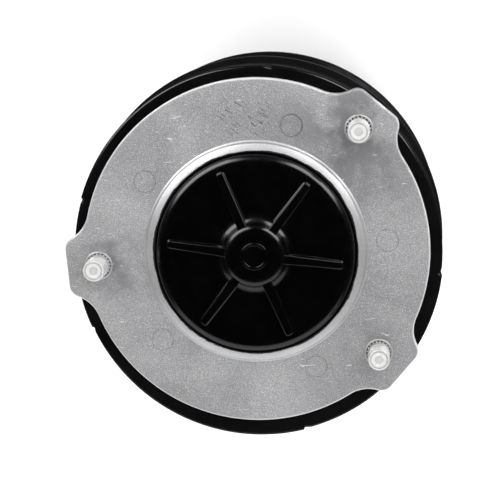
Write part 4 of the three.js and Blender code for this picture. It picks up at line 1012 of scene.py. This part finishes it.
def make_turntable():
    low, high = box_mm("turntable")
    radius, foot, top = high[0], low[2], high[2]
    under = top - DISC_THICK
    profile = rounded([
        (6.3, foot, 0.3), (13, foot, 0.8), (13, under, 0.8), (radius, under, 0.4), (radius, top, 0.5),
        (50, top, 0.8), (48.5, top - 0.5, 0.8), (19, top - 0.5, 0.8), (17.5, top, 0.8), (6.3, top, 0.3),
    ])
    obj = piece("turntable_disc", STAINLESS, lathe(profile), ["turntable"], "rotor")
    drains = [moved(rod(2.5, under - 1, top + 1, 24), place=(*polar(DRAIN_CIRCLE, 30 + 360 / DISC_DRAINS * i), 0))
              for i in range(DISC_DRAINS)]
    carve(obj, merged(*drains))
    low, high = box_mm("turntable_nut")
    nut = slab(circle(0, 0, 10, 6), low[2], high[2], [circle(0, 0, 5.3, 40)], 0.7)
    piece("table_nut", ZINC, nut, ["turntable_nut"], "rotor")
    for letter, side, turn in (("a", 1, 0), ("b", -1, 180)):
        place = (side * RIVET_CIRCLE, 0, 0)
        low, high = box_mm(f"swivel_lug_{letter}")
        outline = arc(9, 0, 5, -75, 75, 10) + arc(-4, 0, 6, 105, 255, 10)
        lug = slab(outline, low[2], high[2], [circle(0, 0, 3.3, 32)], 0.8)
        lug = moved(lug, place=place, turn=turn)
        piece(f"lug_{letter}", STAINLESS, lug, [f"swivel_lug_{letter}"], f"lug_{letter}")
        low, high = box_mm(f"lug_rivet_{letter}")
        head, tail = low[2] + 2, high[2] - 2
        rivet = rounded([(0, low[2]), (RIVET_HEAD, low[2], 0.6), (RIVET_HEAD, head, 0.2), (3, head), (3, tail),
                         (RIVET_HEAD, tail, 0.2), (5.3, high[2] - 0.9, 0.8), (3.5, high[2] - 0.1, 1), (0, high[2])])
        rivet = moved(lathe(rivet, 40), place=place)
        piece(f"rivet_{letter}", ZINC, rivet, [f"lug_rivet_{letter}"], "rotor")


def make_grind_ring():
    low, high = box_mm("grind_ring")
    outer, inner = high[0], high[0] - RING_WALL
    profile = rounded([(inner, low[2], 0.3), (outer, low[2], 0.3), (outer, high[2], 0.8), (inner, high[2], 0.8)])
    obj = piece("shredder_ring", STAINLESS, lathe(profile), ["grind_ring"])
    windows = [aimed(slab(rounded_box((-4.5, -1.5), (4.5, 1.5), 1), 50, 70), low[2] + 10, 360 / RING_WINDOWS * i + 11)
               for i in range(RING_WINDOWS)]
    carve(obj, merged(*windows))


# ---- Stage, in metres ----

FLOOR = -0.0004  # just under the base
FLOOR_REACH = 6.0


def make_floor():
    """A pale floor that is clear from below and casts no shadow there, so the base can be seen and lit."""
    mesh = bpy.data.meshes.new("floor")
    corners = [(-1, -1), (1, -1), (1, 1), (-1, 1)]
    mesh.from_pydata([(x * FLOOR_REACH, y * FLOOR_REACH, FLOOR) for x, y in corners], [], [(0, 1, 2, 3)])
    floor = bpy.data.objects.new("floor", mesh)
    bpy.context.scene.collection.objects.link(floor)
    pale = Graph("floor")
    pale.link(pale.mixed(pale.noise(3, 2), (0.93, 0.93, 0.93), (0.96, 0.96, 0.96)), pale.shader.inputs["Base Color"])
    pale.shader.inputs["Roughness"].default_value = 0.9
    sides = pale.node("ShaderNodeMixShader")
    pale.link(pale.node("ShaderNodeNewGeometry").outputs["Backfacing"], sides.inputs["Fac"])
    pale.link(pale.shader.outputs["BSDF"], sides.inputs[1])
    pale.link(pale.node("ShaderNodeBsdfTransparent").outputs["BSDF"], sides.inputs[2])
    pale.link(sides.outputs["Shader"], pale.tree.nodes["Material Output"].inputs["Surface"])
    mesh.materials.append(pale.material)
    floor.visible_glossy = False
    floor.visible_shadow = False


def make_world():
    """A dim sky, fading to black overhead."""
    world = bpy.data.worlds.new("studio")
    bpy.context.scene.world = world
    world.use_nodes = True
    tree = world.node_tree
    split = tree.nodes.new("ShaderNodeSeparateXYZ")
    tree.links.new(tree.nodes.new("ShaderNodeTexCoord").outputs["Generated"], split.inputs[0])
    ramp = tree.nodes.new("ShaderNodeValToRGB")
    for stop, position, value in zip(ramp.color_ramp.elements, (0.05, 0.75), (0.08, 0.004)):
        stop.position = position
        stop.color = (value, value, value, 1)
    tree.links.new(split.outputs["Z"], ramp.inputs["Fac"])
    tree.links.new(ramp.outputs["Color"], tree.nodes["Background"].inputs["Color"])


def soft_light(name, place, size, radiance, target=(0, 0, 0.3), mirrored=True, scattered=True):
    """A rectangular softbox: glossy faces reflect it if it is mirrored, matt ones if it is scattered."""
    data = bpy.data.lights.new(name, "AREA")
    data.shape, data.size, data.size_y = "RECTANGLE", size[0], size[1]
    data.energy = radiance * math.pi * size[0] * size[1]
    obj = bpy.data.objects.new(name, data)
    obj.location = place
    obj.rotation_euler = (Vector(target) - Vector(place)).to_track_quat("-Z", "Y").to_euler()
    obj.visible_camera = False
    obj.visible_glossy = mirrored
    obj.visible_diffuse = scattered
    bpy.context.scene.collection.objects.link(obj)


def make_lights():
    soft_light("softbox_left", (-0.72, 0.80, 0.81), (0.95, 0.8), 6.0, scattered=False)
    soft_light("softbox_right", (0.70, 0.83, 0.81), (0.85, 0.8), 6.0)
    soft_light("fill_low", (0.0, -1.15, 0.6), (2.6, 1.2), 1.0)
    soft_light("front", (0.2, -0.9, 1.15), (1.4, 1.0), 1.6, mirrored=False)
    soft_light("wash", (0.0, -0.2, 2.6), (3.0, 3.0), 3.5, (0, 0, 0), mirrored=False)
    soft_light("under", (0.6, -0.5, -1.6), (1.6, 1.6), 3.0, (0, 0, 0), mirrored=False)


CAMERA_PLACE = (0.0480, 0.1165, 1.0)
CAMERA_AIM = (-0.0026, 0.0009, 0.300)
FOCAL_RATIO = 1619 / 500  # focal length over the width of the frame


def make_camera():
    data = bpy.data.cameras.new("camera")
    data.sensor_width = 36
    data.lens = FOCAL_RATIO * data.sensor_width
    camera = bpy.data.objects.new("camera", data)
    camera.location = CAMERA_PLACE
    forward = (Vector(CAMERA_AIM) - camera.location).normalized()
    right = forward.cross(Vector((0, 1, 0))).normalized()
    up = right.cross(forward)
    camera.rotation_euler = Matrix((right, up, -forward)).transposed().to_euler()
    bpy.context.scene.collection.objects.link(camera)
    bpy.context.scene.camera = camera


dress_cad_nodes()
make_plate()
make_studs()
make_stopper()
make_guard()
make_trim()
make_upper_shell()
make_lower_shell()
make_base()
make_hopper()
make_port()
make_base_fittings()
make_turntable()
make_grind_ring()
make_floor()
make_world()
make_lights()
make_camera()
bpy.context.scene.view_settings.view_transform = "Standard"
